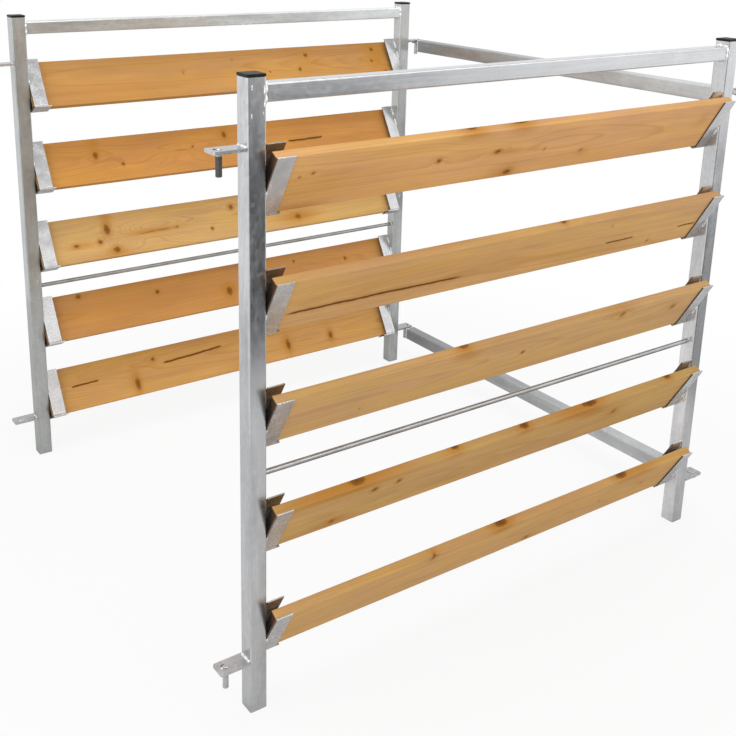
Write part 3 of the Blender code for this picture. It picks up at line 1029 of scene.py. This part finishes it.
def rear_boards() -> list[Board]:
    """Return the rear panel's boards, from the top down.

    Returns:
        Five boards.
    """
    return [
        Board(
            "rear", 1, (0.75, 0.67, 0.53), (-0.05, 0.06), (0.03, 0.02),
            knots=(
                Knot(0.672, 0.03, 0.0045, strength=0.35), Knot(0.952, 0.032, 0.0075),
                Knot(0.916, 0.08, 0.006), Knot(0.492, 0.064, 0.005, strength=0.35),
                Knot(1.226, 0.026, 0.0068), Knot(1.214, 0.068, 0.0056), Knot(1.262, 0.112, 0.008),
                Knot(0.8, 0.082, 0.004, strength=0.5),
            ),
            stains=(
                Stain(1.235, 0.055, 0.045, 0.06, 0.85), Stain(0.2, 0.1, 0.4, 0.03, 0.3),
                Stain(0.94, 0.05, 0.05, 0.04, 0.3),
            ),
        ),
        Board(
            "rear", 2, (0.82, 0.67, 0.44), (-0.06, 0.08), (-0.025, 0.03),
            knots=(
                Knot(0.196, 0.05, 0.008, 0.0, 0.2, 1.5), Knot(0.276, 0.09, 0.0055),
                Knot(0.64, 0.032, 0.0078, tall=1.3), Knot(0.52, 0.06, 0.0035), Knot(1.0, 0.135, 0.006),
                Knot(0.478, 0.067, 0.022, tall=0.08, strength=0.4),
            ),
            stains=(
                Stain(0.196, 0.02, 0.018, 0.04, 0.6), Stain(0.64, 0.03, 0.03, 0.03, 0.4),
                Stain(0.98, 0.13, 0.1, 0.012, 0.6),
            ),
            checks=(Check(0.868, 1.012, 0.076, -0.0015, 0.002, 0.005, inner=True),),
        ),
        Board(
            "rear", 3, (0.9, 0.96, 0.92), (-0.045, 0.05), (0.03, -0.03),
            knots=(
                Knot(0.222, 0.046, 0.0095, 0.0, 0.2, 1.7), Knot(0.116, 0.088, 0.0082, tall=0.6),
                Knot(0.192, 0.086, 0.0075), Knot(0.24, 0.118, 0.0105, tall=0.8), Knot(0.66, 0.038, 0.008),
                Knot(0.576, 0.1, 0.005), Knot(0.34, 0.08, 0.018, tall=0.1, strength=0.45),
                Knot(0.404, 0.077, 0.026, tall=0.07, strength=0.5),
                Knot(0.455, 0.076, 0.0045, strength=0.5), Knot(0.905, 0.105, 0.011, tall=0.8, strength=0.7),
            ),
            stains=(
                Stain(0.225, 0.01, 0.022, 0.04, 0.6), Stain(0.24, 0.12, 0.04, 0.015, 0.7),
                Stain(0.13, 0.09, 0.05, 0.012, 0.5), Stain(0.37, 0.077, 0.09, 0.007, 1.0),
                Stain(0.91, 0.105, 0.08, 0.025, 0.95), Stain(0.25, 0.14, 0.2, 0.01, 0.4),
            ),
        ),
        Board(
            "rear", 4, (0.8, 0.67, 0.57), (-0.07, 0.07), (-0.03, 0.02),
            knots=(
                Knot(0.126, 0.013, 0.0075), Knot(0.386, 0.045, 0.0072), Knot(0.64, 0.088, 0.011, tall=1.3),
                Knot(0.912, 0.03, 0.0045), Knot(1.124, 0.053, 0.006),
            ),
            stains=(
                Stain(0.35, 0.07, 0.4, 0.07, 0.4), Stain(0.64, 0.086, 0.03, 0.03, 0.7),
                Stain(0.65, 0.135, 0.5, 0.012, 0.3),
            ),
        ),
        Board(
            "rear", 5, (0.88, 0.82, 0.64), (-0.055, 0.06), (0.03, 0.03),
            knots=(
                Knot(0.364, 0.036, 0.006), Knot(0.296, 0.096, 0.008, 0.0, 0.3, 2.4),
                Knot(0.872, 0.086, 0.0085, 0.0, 0.3, 2.0), Knot(1.052, 0.094, 0.0085, tall=1.5),
            ),
            stains=(
                Stain(0.292, 0.095, 0.02, 0.04, 0.7), Stain(0.868, 0.085, 0.022, 0.04, 0.7),
                Stain(1.05, 0.09, 0.02, 0.03, 0.5),
            ),
            checks=(
                Check(0.078, 0.172, 0.064, -0.0015, 0.0, 0.004, inner=True),
                Check(0.392, 0.622, 0.049, -0.006, 0.0015, 0.0046, inner=True),
            ),
        ),
    ]


# ---- Welds ----


@dataclass
class Bead:
    """A weld bead: a lumpy rope of metal along a path, round in section and closed at both ends."""

    path: np.ndarray
    radius: float
    closed: bool = False
    seed: float = 0.0
    ripple: float = 0.0026
    lumps: float = 0.12
    short_wave: float = 410.0
    long_wave: float = 170.0
    columns: int = 10

    def surface(self) -> tuple[np.ndarray, np.ndarray]:
        """Return the bead's points and faces.

        The path is resampled evenly. Round each of its points stands a circle whose radius swells with
        each ripple and with two slow waves, and shrinks to nothing at an open path's ends.

        Returns:
            An array of X, Y, Z rows, and an array of four point numbers for each face.
        """
        path = np.asarray(self.path, float)
        if self.closed:
            path = np.concatenate([path, path[:1]])
        lengths = np.concatenate([[0], np.cumsum(np.linalg.norm(np.diff(path, axis=0), axis=1))])
        rows = max(8, round(lengths[-1] / self.ripple * 4))
        share = np.linspace(0, lengths[-1], rows + 1)
        share = share[:-1] if self.closed else share
        middle = np.stack([np.interp(share, lengths, path[:, axis]) for axis in range(3)], 1)
        ahead = np.roll(middle, -1, 0) - np.roll(middle, 1, 0) if self.closed else np.gradient(middle, axis=0)
        ahead = ahead / np.linalg.norm(ahead, axis=1, keepdims=True)
        up = np.where(np.abs(ahead[:, 2:]) < 0.9, [[0.0, 0.0, 1.0]], [[1.0, 0.0, 0.0]])
        side = np.cross(ahead, up)
        side = side / np.linalg.norm(side, axis=1, keepdims=True)
        over = np.cross(side, ahead)
        swell = 1 + 0.09 * np.sin(share / self.ripple * 2 * math.pi)
        swell = swell + self.lumps * np.sin(share * self.short_wave + self.seed)
        swell = swell + self.lumps * np.sin(share * self.long_wave + self.seed * 3)
        if not self.closed:
            ends = np.minimum(share, lengths[-1] - share) / (self.radius * 1.4)
            swell = swell * np.sqrt(np.clip(1 - (1 - np.clip(ends, 0, 1)) ** 2, 0, 1))
        angle = np.linspace(0, 2 * math.pi, self.columns + 1)[:-1]
        ring = side[:, None] * np.cos(angle)[None, :, None] + over[:, None] * np.sin(angle)[None, :, None]
        points = middle[:, None] + ring * (self.radius * swell)[:, None, None]
        return points.reshape(-1, 3), grid_faces(len(middle), self.columns, self.closed)


def middle_of(box: Box) -> list[float]:
    """Return the middle of a box from its two corners."""
    low, high = box
    return [(low[axis] + high[axis]) / 2 for axis in range(3)]


def square_ring(centre: Sequence[float], side: float, corner: float, along: Along) -> np.ndarray:
    """Return the rounded square round a tube's end, in the plane across its axis.

    Args:
        centre: the square's middle.
        side: its width.
        corner: its corners' radius.
        along: the tube's axis.

    Returns:
        An array of X, Y, Z rows.
    """
    angle = np.linspace(0, 2 * math.pi, 33)[:-1]
    quarter = np.sign(np.stack([np.cos(angle + 1e-6), np.sin(angle + 1e-6)], 1))
    flat = quarter * (side / 2 - corner) + corner * np.stack([np.cos(angle), np.sin(angle)], 1)
    ring = np.tile(np.asarray(centre, float), (len(angle), 1))
    axes = [axis for axis in range(3) if axis != along.value]
    ring[:, axes[0]] += flat[:, 0]
    ring[:, axes[1]] += flat[:, 1]
    return ring


@dataclass
class WeldSet:
    """The weld beads of one post or rail, made one piece."""

    name: str
    body: str
    beads: list[Bead]

    def build(self, finish: bpy.types.Material) -> bpy.types.Object:
        """Join the beads in one mesh, dress it and let it ride on its body.

        Args:
            finish: the weld material.

        Returns:
            The new piece.
        """
        points, faces, count = [], [], 0
        for bead in self.beads:
            some, quads = bead.surface()
            points.append(some)
            faces.append(quads + count)
            count += len(some)
        piece = mesh_from_grid(self.name, np.concatenate(points), np.concatenate(faces))
        piece.data.materials.append(finish)
        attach(piece, self.body)
        LOG.info("welds %s: %d beads", self.name, len(self.beads))
        return piece


@dataclass(frozen=True)
class Run:
    """A drip of zinc on a post's outer face: which post, its place across and up, its length and radius."""

    side: str
    across: float
    top: float
    length: float
    radius: float = 0.0011


@dataclass
class Panel:
    """One slatted panel: its boards, its zinc drips and the sizes of its welds.

    A stand is how far a weld's middle lies from a face: from the board's for the holders, from the post's
    for the lugs and the rails' ends. A span is where a weld starts and ends along its line.
    """

    name: str
    boards: list[Board]
    runs: Sequence[Run] = ()
    holder_lean: float = math.radians(30)
    holder_bead: float = 0.0022
    holder_sink: float = 0.0006
    front_stand: float = 0.0037
    front_span: Pair = (0.003, 0.034)
    foot_margin: float = 0.004
    rear_stand: float = 0.0192
    rear_margin: float = 0.006
    rear_break: Pair = (0.42, 0.62)
    lug_bead: float = 0.0030
    lug_stand: float = 0.0004
    lug_half_span: float = 0.0165
    lug_levels: Pair = (0.0006, -0.0066)
    peg_head: float = 0.0015
    end_stand: float = 0.0003
    rail_corner: float = 0.0045
    rail_bead: float = 0.0027
    rod_bead: float = 0.0016
    run_sink: float = 0.0003
    run_lean: float = 0.0008

    @property
    def body(self) -> str:
        """Return the body that the panel's steel rides on."""
        return f"{self.name}_panel"

    @property
    def out(self) -> float:
        """Return -1 where the panel's outer side faces -Y, and 1 where it faces +Y."""
        return -1.0 if self.name == "front" else 1.0

    def post(self, side: str) -> Box:
        """Return the two corners of one post's box."""
        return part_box(f"{self.name}_{side}_post")

    def holder_beads(self, side: str, number: int) -> list[Bead]:
        """Return the beads that join one holder to its post.

        One bead runs down the corner between the channel's front and the post's side, and two in a line
        down the corner behind the channel. All lie on the slope of the channel.

        Args:
            side: which post.
            number: which holder, counted from the top.

        Returns:
            The three beads.
        """
        low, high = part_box(f"{self.name}_{side}_holder_{number}")
        left = side == "left"
        x = (low.x + self.holder_sink) if left else (high.x - self.holder_sink)
        post_low, post_high = self.post(side)
        outer_face, inner_face = (post_low.y, post_high.y) if self.out < 0 else (post_high.y, post_low.y)
        sine, cosine = math.sin(self.holder_lean), math.cos(self.holder_lean)
        slope = np.array([0.0, -self.out * sine, -cosine])
        normal = np.array([0.0, self.out * cosine, -sine])
        board = self.boards[number - 1]
        middle = np.array([x, *middle_of(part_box(f"{self.name}_board_{number}"))[1:]])
        top_front = middle - slope * board.width / 2 + normal * (board.thickness / 2 + self.front_stand)
        start = abs(top_front[1] - outer_face) / sine
        end = min(start + self.front_span[1], board.width - self.foot_margin)
        front = [top_front + slope * (start + self.front_span[0]), top_front + slope * end]
        top_rear = middle - slope * board.width / 2 - normal * (board.thickness / 2 + self.rear_stand)
        reach = abs(inner_face - top_rear[1]) / sine
        rear_top = top_rear + slope * self.rear_margin
        rear_foot = top_rear + slope * (reach - self.rear_margin)
        breaks = [rear_top + (rear_foot - rear_top) * share for share in self.rear_break]
        seed = number * 1.7 + (0.4 if left else 0.0)
        return [
            Bead(np.array(front), self.holder_bead, seed=seed),
            Bead(np.array([rear_top, breaks[0]]), self.holder_bead, seed=seed + 2),
            Bead(np.array([breaks[1], rear_foot]), self.holder_bead * 0.9, seed=seed + 3),
        ]

    def lug_beads(self, side: str) -> list[Bead]:
        """Return the beads over and under each lug, along the post's outer side.

        A peg's head stands above its lug, so a left lug's beads start lower than its box's top by that
        head. This fits the front panel. The rear panel has its pegs on the right, so there the beads lie too
        low by a head's height on the left, and too high by as much on the right.

        Args:
            side: which post.

        Returns:
            Two beads for each of the post's lugs.
        """
        beads = []
        post_low, post_high = self.post(side)
        x = post_low.x - self.lug_stand if side == "left" else post_high.x + self.lug_stand
        y = middle_of((post_low, post_high))[1]
        for level in LEVELS:
            _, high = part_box(f"{self.name}_{side}_{level}_lug")
            top = high.z if side == "right" else high.z - self.peg_head
            for place, rise in enumerate(self.lug_levels):
                z = top + rise
                ends = [(x, y - self.lug_half_span, z), (x, y + self.lug_half_span, z)]
                beads.append(Bead(np.array(ends), self.lug_bead, seed=place + 1.0 + high.z))
        return beads

    def end_beads(self, side: str) -> list[Bead]:
        """Return the beads round the top rail's end and the tie rod's end.

        Args:
            side: which post.

        Returns:
            One bead for each of the two ends.
        """
        post_low, post_high = self.post(side)
        x = post_high.x + self.end_stand if side == "left" else post_low.x - self.end_stand
        low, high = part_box(f"{self.name}_top_rail")
        centre = (x, *middle_of((low, high))[1:])
        ring = square_ring(centre, high.z - low.z + 0.001, self.rail_corner, Along.X)
        rail = Bead(ring, self.rail_bead, True, seed=1.0 + post_low.x, lumps=0.28)
        low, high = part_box(f"{self.name}_tie_rod")
        centre = (x, *middle_of((low, high))[1:])
        ring = square_ring(centre, high.z - low.z + 0.0012, (high.z - low.z) / 2 + 0.0005, Along.X)
        return [rail, Bead(ring, self.rod_bead, True, seed=2.0)]

    def run_beads(self, side: str) -> list[Bead]:
        """Return the drips on one post's outer face: short beads, half sunk in it, that lean a little.

        Args:
            side: which post.

        Returns:
            One bead for each of the post's drips.
        """
        post_low, post_high = self.post(side)
        face = post_low.y + self.run_sink if self.out < 0 else post_high.y - self.run_sink
        beads = []
        for place, run in enumerate(self.runs):
            if run.side != side:
                continue
            x = middle_of((post_low, post_high))[0] + run.across
            foot = (x + self.run_lean * math.sin(place * 2.3), face, run.top - run.length)
            path = np.array([(x, face, run.top), foot])
            beads.append(Bead(path, run.radius, seed=place * 1.9, lumps=0.3, columns=8))
        return beads

    def build(self, finishes: "Finishes") -> None:
        """Dress the panel's steel, and build its boards and welds.

        Args:
            finishes: the materials of the rack.
        """
        for board in self.boards:
            board.build(finishes.larch)
        for side in SIDES:
            beads = self.lug_beads(side) + self.end_beads(side) + self.run_beads(side)
            for number in range(1, len(self.boards) + 1):
                beads += self.holder_beads(side, number)
            WeldSet(f"{self.name}_{side}_welds", self.body, beads).build(finishes.weld)
            # The rear left and front right posts get their own zinc copies, which carry painted shade and
            # painted light.
            zinc = finishes.tubes.get(f"{self.name}_{side}", finishes.tubes[self.name])
            finishes.dress(f"{self.name}_{side}_post", zinc[Along.Z])
            finishes.dress(f"{self.name}_{side}_cap", finishes.cap)
            for level in LEVELS:
                # The front panel's upper left lug gets painted shade on its peg.
                painted_peg_shade = (self.name, side, level) == ("front", "left", "upper")
                lug = finishes.painted_shade_lug if painted_peg_shade else finishes.plate
                finishes.dress(f"{self.name}_{side}_{level}_lug", lug)
            for number in range(1, len(self.boards) + 1):
                finishes.dress(f"{self.name}_{side}_holder_{number}", finishes.channels[self.name, side])
        finishes.dress(f"{self.name}_top_rail", finishes.tubes[self.name][Along.X])
        finishes.dress(f"{self.name}_tie_rod", finishes.rods[self.name])
        LOG.info("panel %s is dressed", self.name)


@dataclass
class SideRail:
    """One side rail with its end plates, tongues and rivet."""

    level: str
    rail_bead: float = 0.0021
    rail_inset: float = 0.0034
    rail_shift: float = 0.0014
    rail_corner: float = 0.0045
    tongue_bead: float = 0.0024
    tongue_stand: float = 0.0036
    tongue_drop: float = 0.0126
    tongue_half_span: float = 0.012

    def build(self, finishes: "Finishes") -> None:
        """Dress the rail, and build the welds round its end plates and under its tongues.

        Args:
            finishes: the materials of the rack.
        """
        beads = []
        rail_low, rail_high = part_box(f"{self.level}_side_rail")
        centre_x, _, centre_z = middle_of((rail_low, rail_high))
        side = rail_high.x - rail_low.x - self.rail_inset
        for end, y, out in (("front", rail_low.y, -1.0), ("rear", rail_high.y, 1.0)):
            centre = (centre_x - self.rail_shift, y, centre_z)
            ring = square_ring(centre, side, self.rail_corner, Along.Y)
            beads.append(Bead(ring, self.rail_bead, True, seed=y))
            plate, z = y + out * self.tongue_stand, rail_high.z - self.tongue_drop
            ends = [(centre_x + way * self.tongue_half_span, plate, z) for way in (-1, 1)]
            beads.append(Bead(np.array(ends), self.tongue_bead, seed=3.0 + y))
            # The upper rail's rear tongue gets painted shade: a darker copy of the plate finish.
            painted_shade = (self.level, end) == ("upper", "rear")
            zinc = finishes.painted_shade_plate if painted_shade else finishes.plate
            finishes.dress(f"{self.level}_{end}_tongue", zinc)
        WeldSet(f"{self.level}_rail_welds", f"{self.level}_side_rail", beads).build(finishes.weld)
        finishes.dress(f"{self.level}_side_rail", finishes.tubes["side"][Along.Y])
        finishes.dress(f"{self.level}_rivet", finishes.plate)
        LOG.info("side rail %s is dressed", self.level)


class Finishes:
    """The materials of the whole rack, made once."""

    def __init__(self) -> None:
        """Make every material."""
        # Painted shade: darker copies of the zinc for the rear panel's tubes, and a darker one still for its
        # left post.
        painted_shade_rear = {"light": (0.575, 0.598, 0.588), "dark": (0.385, 0.402, 0.397), "metallic": 0.60}
        painted_shade = {"light": (0.50, 0.52, 0.51), "dark": (0.335, 0.35, 0.345), "metallic": 0.60}
        satin = {"light": (0.64, 0.66, 0.67), "dark": (0.43, 0.45, 0.46), "roughness": 0.36, "metallic": 0.50}
        # Front right post: painted light on its low -X faces, painted shade on the middle of its -Y faces.
        painted_light_and_shade = {"metallic": 0.78, "painted_light_left_side": 0.42, "painted_shade_front_side": 0.36}
        rows = (
            ("front", Along.X, {}),
            ("front", Along.Z, {}),
            # Rear top rail: painted light that brightens it towards +X.
            ("rear", Along.X, {**painted_shade_rear, "painted_light_right": 0.35}),
            ("rear", Along.Z, painted_shade_rear),
            ("rear_left", Along.Z, painted_shade),
            ("front_right", Along.Z, painted_light_and_shade),
            # Side rails: painted shade that darkens them towards +Y.
            ("side", Along.Y, {**satin, "painted_shade_far_end": 0.45}),
        )
        self.tubes = {}
        for key, along, looks in rows:
            finish = TubeFinish(f"galvanised_{key}_{along.name.lower()}", along, **looks)
            self.tubes.setdefault(key, {})[along] = finish.material()
        self.plate = PlateFinish().material()
        # Painted shade on the peg under the front panel's upper left lug.
        self.painted_shade_lug = PlateFinish("galvanised_painted_shade_lug", painted_shade_below=1.204).material()
        # Painted shade: a darker copy of the plate finish for the upper rail's rear tongue.
        shadowed = {"light": (0.30, 0.30, 0.305), "dark": (0.17, 0.17, 0.175)}
        self.painted_shade_plate = PlateFinish("galvanised_dull_plate", **shadowed).material()
        greys = {
            "front": {"outward": -1.0, "light": (0.64, 0.64, 0.645), "dark": (0.42, 0.42, 0.425)},
            "rear": {"outward": 1.0, "light": (0.57, 0.57, 0.575), "dark": (0.33, 0.33, 0.335)},
        }
        # Painted reflections of the wood inside the channels: darker on the left posts, lighter on the right.
        reflected_woods = {"left": (0.22, 0.155, 0.09), "right": (0.56, 0.40, 0.24)}
        # Channels: painted shade on their sheared edges and inside, and a painted brown reflection of the
        # wood near the top inside.
        strip = {"painted_edge_shade": 0.8, "roughness": 0.26, "inside": 0.80, "metallic": 0.62}
        strip.update({"relief": 0.00004, "grainy": 0.35})
        self.channels = {}
        for name, grey in greys.items():
            for side, reflected_wood in reflected_woods.items():
                finish = PlateFinish(f"galvanised_channel_{name}_{side}", reflected_wood=reflected_wood, **strip, **grey)
                self.channels[name, side] = finish.material()
        self.rods = {
            "front": RodFinish("galvanised_rod_front", (0.45, 0.455, 0.46), (0.27, 0.275, 0.28)).material(),
            "rear": RodFinish("galvanised_rod_rear", (0.42, 0.43, 0.42), (0.24, 0.245, 0.24)).material(),
        }
        self.weld = WeldFinish().material()
        self.cap = CapFinish().material()
        self.larch = LarchFinish().material()

    def dress(self, node: str, material: bpy.types.Material) -> None:
        """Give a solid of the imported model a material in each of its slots.

        Args:
            node: the solid's name.
            material: its finish.
        """
        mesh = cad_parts[node].data
        if not mesh.materials:
            mesh.materials.append(material)
        for place in range(len(mesh.materials)):
            mesh.materials[place] = material


# ---- Studio ----


@dataclass
class Studio:
    """The camera, the lamps, the pale floor and the white surroundings."""

    eye: Colour = (-1.604, -2.279, 1.601)
    turn: float = math.radians(34.16)
    tilt: float = math.radians(-15.84)
    roll: float = math.radians(0.95)
    lens: float = 51.02
    shift: Pair = (0.0516, -0.1997)
    floor_radius: float = 2.32
    floor_drop: float = 0.0006
    paper: Colour = (0.60, 0.60, 0.60)
    dark_corner: Colour = (0.530, -0.848, 0.0)
    dark_front: Colour = (-0.10, -0.99, 0.0)
    dark_crown: Colour = (0.30, -0.50, 0.81)
    bright_panel: Colour = (0.62, -0.52, 0.58)
    bright_side: Colour = (0.72, -0.68, -0.10)
    dark_near: Colour = (0.46, -0.86, -0.22)

    def camera(self) -> None:
        """Set up the camera from its place and its three angles."""
        ahead = np.array([
            math.sin(self.turn) * math.cos(self.tilt),
            math.cos(self.turn) * math.cos(self.tilt),
            math.sin(self.tilt),
        ])
        right = np.array([math.cos(self.turn), -math.sin(self.turn), 0.0])
        up = np.cross(right, ahead)
        level = math.cos(self.roll) * right + math.sin(self.roll) * up
        crown = -math.sin(self.roll) * right + math.cos(self.roll) * up
        data = bpy.data.cameras.new("camera")
        data.lens = self.lens
        data.sensor_width = 36.0
        data.shift_x, data.shift_y = self.shift
        data.clip_start, data.clip_end = 0.05, 60.0
        camera = bpy.data.objects.new("camera", data)
        camera.matrix_world = Matrix([
            (level[0], crown[0], -ahead[0], self.eye[0]),
            (level[1], crown[1], -ahead[1], self.eye[1]),
            (level[2], crown[2], -ahead[2], self.eye[2]),
            (0, 0, 0, 1),
        ])
        bpy.context.scene.collection.objects.link(camera)
        bpy.context.scene.camera = camera

    def lamp(self, name: str, at: Colour, aim: Colour, size: float, power: float) -> None:
        """Add one square area lamp.

        Args:
            name: its name.
            at: where it hangs.
            aim: the point that it faces.
            size: its side.
            power: its power in watts.
        """
        data = bpy.data.lights.new(name, "AREA")
        data.shape = "SQUARE"
        data.size = size
        data.energy = power
        lamp = bpy.data.objects.new(name, data)
        away = np.array(at) - np.array(aim)
        lamp.location = at
        pitch = math.atan2(math.hypot(away[0], away[1]), away[2])
        lamp.rotation_euler = (pitch, 0.0, math.atan2(away[1], away[0]) + math.pi / 2)
        bpy.context.scene.collection.objects.link(lamp)

    def lamps(self) -> None:
        """Hang a broad lamp over the rack, one at its left and one in front."""
        self.lamp("top_lamp", (-0.4, -0.2, 4.2), (0.0, 0.0, 0.6), 2.6, 78.0)
        self.lamp("left_lamp", (-4.2, -1.6, 2.2), (0.0, 0.0, 0.7), 2.6, 45.0)
        self.lamp("front_lamp", (0.4, -4.6, 3.2), (0.0, 0.0, 0.6), 2.5, 46.0)

    def surroundings(self) -> None:
        """Make the world white to the eye, an even light on rough faces, and patches of light in gloss."""
        world = bpy.data.worlds.new("surroundings")
        bpy.context.scene.world = world
        sheet = NodeSheet(world)
        way = Arrow(sheet, sheet.node("ShaderNodeTexCoord", output="Generated").socket)
        height = way.parts()[2]
        band = height.above(-0.80, -0.65) * height.below(-0.205, -0.165)
        band = band * way.toward(self.dark_corner).above(0.82, 0.93)
        front = way.toward(self.dark_front).above(0.86, 0.97)
        crown = way.toward(self.dark_crown).above(0.965, 0.99)
        panel = way.toward(self.bright_panel).above(0.90, 0.97)
        side = way.toward(self.bright_side).above(0.94, 0.99) * height.above(-0.20, -0.14)
        near = way.toward(self.dark_near).above(0.962, 0.995)
        back = way.toward((0.0, 1.0, 0.0)).above(0.0, 0.4) * height.above(0.10, 0.35)
        mirror = (1.08 + panel * 1.1 + side * 0.28 - back * 0.40) * (1.0 - band * 0.9) * (1.0 - front * 0.7)
        mirror = mirror * (1.0 - crown * 0.8) * (1.0 - near * 0.60)
        seen = sheet.ray("Camera")
        gloss = sheet.ray("Glossy")
        glass = sheet.ray("Transmission")
        around = gloss * mirror + (1.0 - gloss) * 0.76
        white = seen.math("MAXIMUM", glass)
        strength = white + (1.0 - white) * around
        shader = sheet.node("ShaderNodeBackground", {}, {"Color": (1.0, 1.0, 1.0), "Strength": strength})
        sheet.close(shader)

    def floor(self) -> None:
        """Lay the floor: a flat disc, drawn as rings of points, white to the eye with a soft shadow."""
        radius = np.linspace(0, self.floor_radius, 12)
        angle = np.linspace(0, 2 * math.pi, 65)[:-1]
        x = radius[:, None] * np.cos(angle)[None, :]
        y = radius[:, None] * np.sin(angle)[None, :]
        points = np.stack([x, y, np.full_like(x, -self.floor_drop)], 2).reshape(-1, 3)
        disc = mesh_from_grid("floor", points, grid_faces(len(radius), len(angle)))
        sheet = new_sheet("floor_paper")
        paper = sheet.node("ShaderNodeBsdfPrincipled", {}, {"Base Color": self.paper, "Roughness": 0.9})
        glow = sheet.node("ShaderNodeEmission", {}, {"Color": (1.0, 1.0, 1.0), "Strength": 1.0})
        seen = sheet.ray("Camera")
        far = sheet.place().length().above(0.9, 2.3)
        share = seen * (0.88 + far * 0.12)
        sheet.close(sheet.node("ShaderNodeMixShader", {}, {0: share, 1: paper, 2: glow}))
        disc.data.materials.append(sheet.owner)

    def build(self) -> None:
        """Set up the whole studio."""
        self.camera()
        self.lamps()
        self.surroundings()
        self.floor()
        bpy.context.scene.view_settings.view_transform = "Standard"
        LOG.info("studio is set up")


def main() -> None:
    """Dress the rack and set up the studio."""
    logging.basicConfig(level=logging.INFO, format="%(name)s: %(message)s")
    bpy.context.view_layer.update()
    finishes = Finishes()
    front_runs = (
        Run("left", -0.010, 1.327, 0.010, 0.0010), Run("left", 0.0155, 1.325, 0.018, 0.0013),
        Run("left", 0.0165, 1.300, 0.014, 0.0012), Run("left", -0.011, 1.276, 0.010, 0.0010),
        Run("left", 0.013, 1.278, 0.008, 0.0009), Run("right", -0.014, 1.322, 0.014, 0.0013),
        Run("right", -0.008, 1.300, 0.010), Run("right", 0.004, 1.318, 0.006),
    )
    rear_runs = (
        Run("left", 0.011, 1.300, 0.012), Run("left", -0.006, 1.316, 0.009),
        Run("right", -0.012, 1.310, 0.012),
    )
    Panel("front", front_boards(), front_runs).build(finishes)
    Panel("rear", rear_boards(), rear_runs).build(finishes)
    for level in LEVELS:
        SideRail(level).build(finishes)
    Studio().build()
    bpy.context.view_layer.update()


if __name__ == "__main__":
    main()
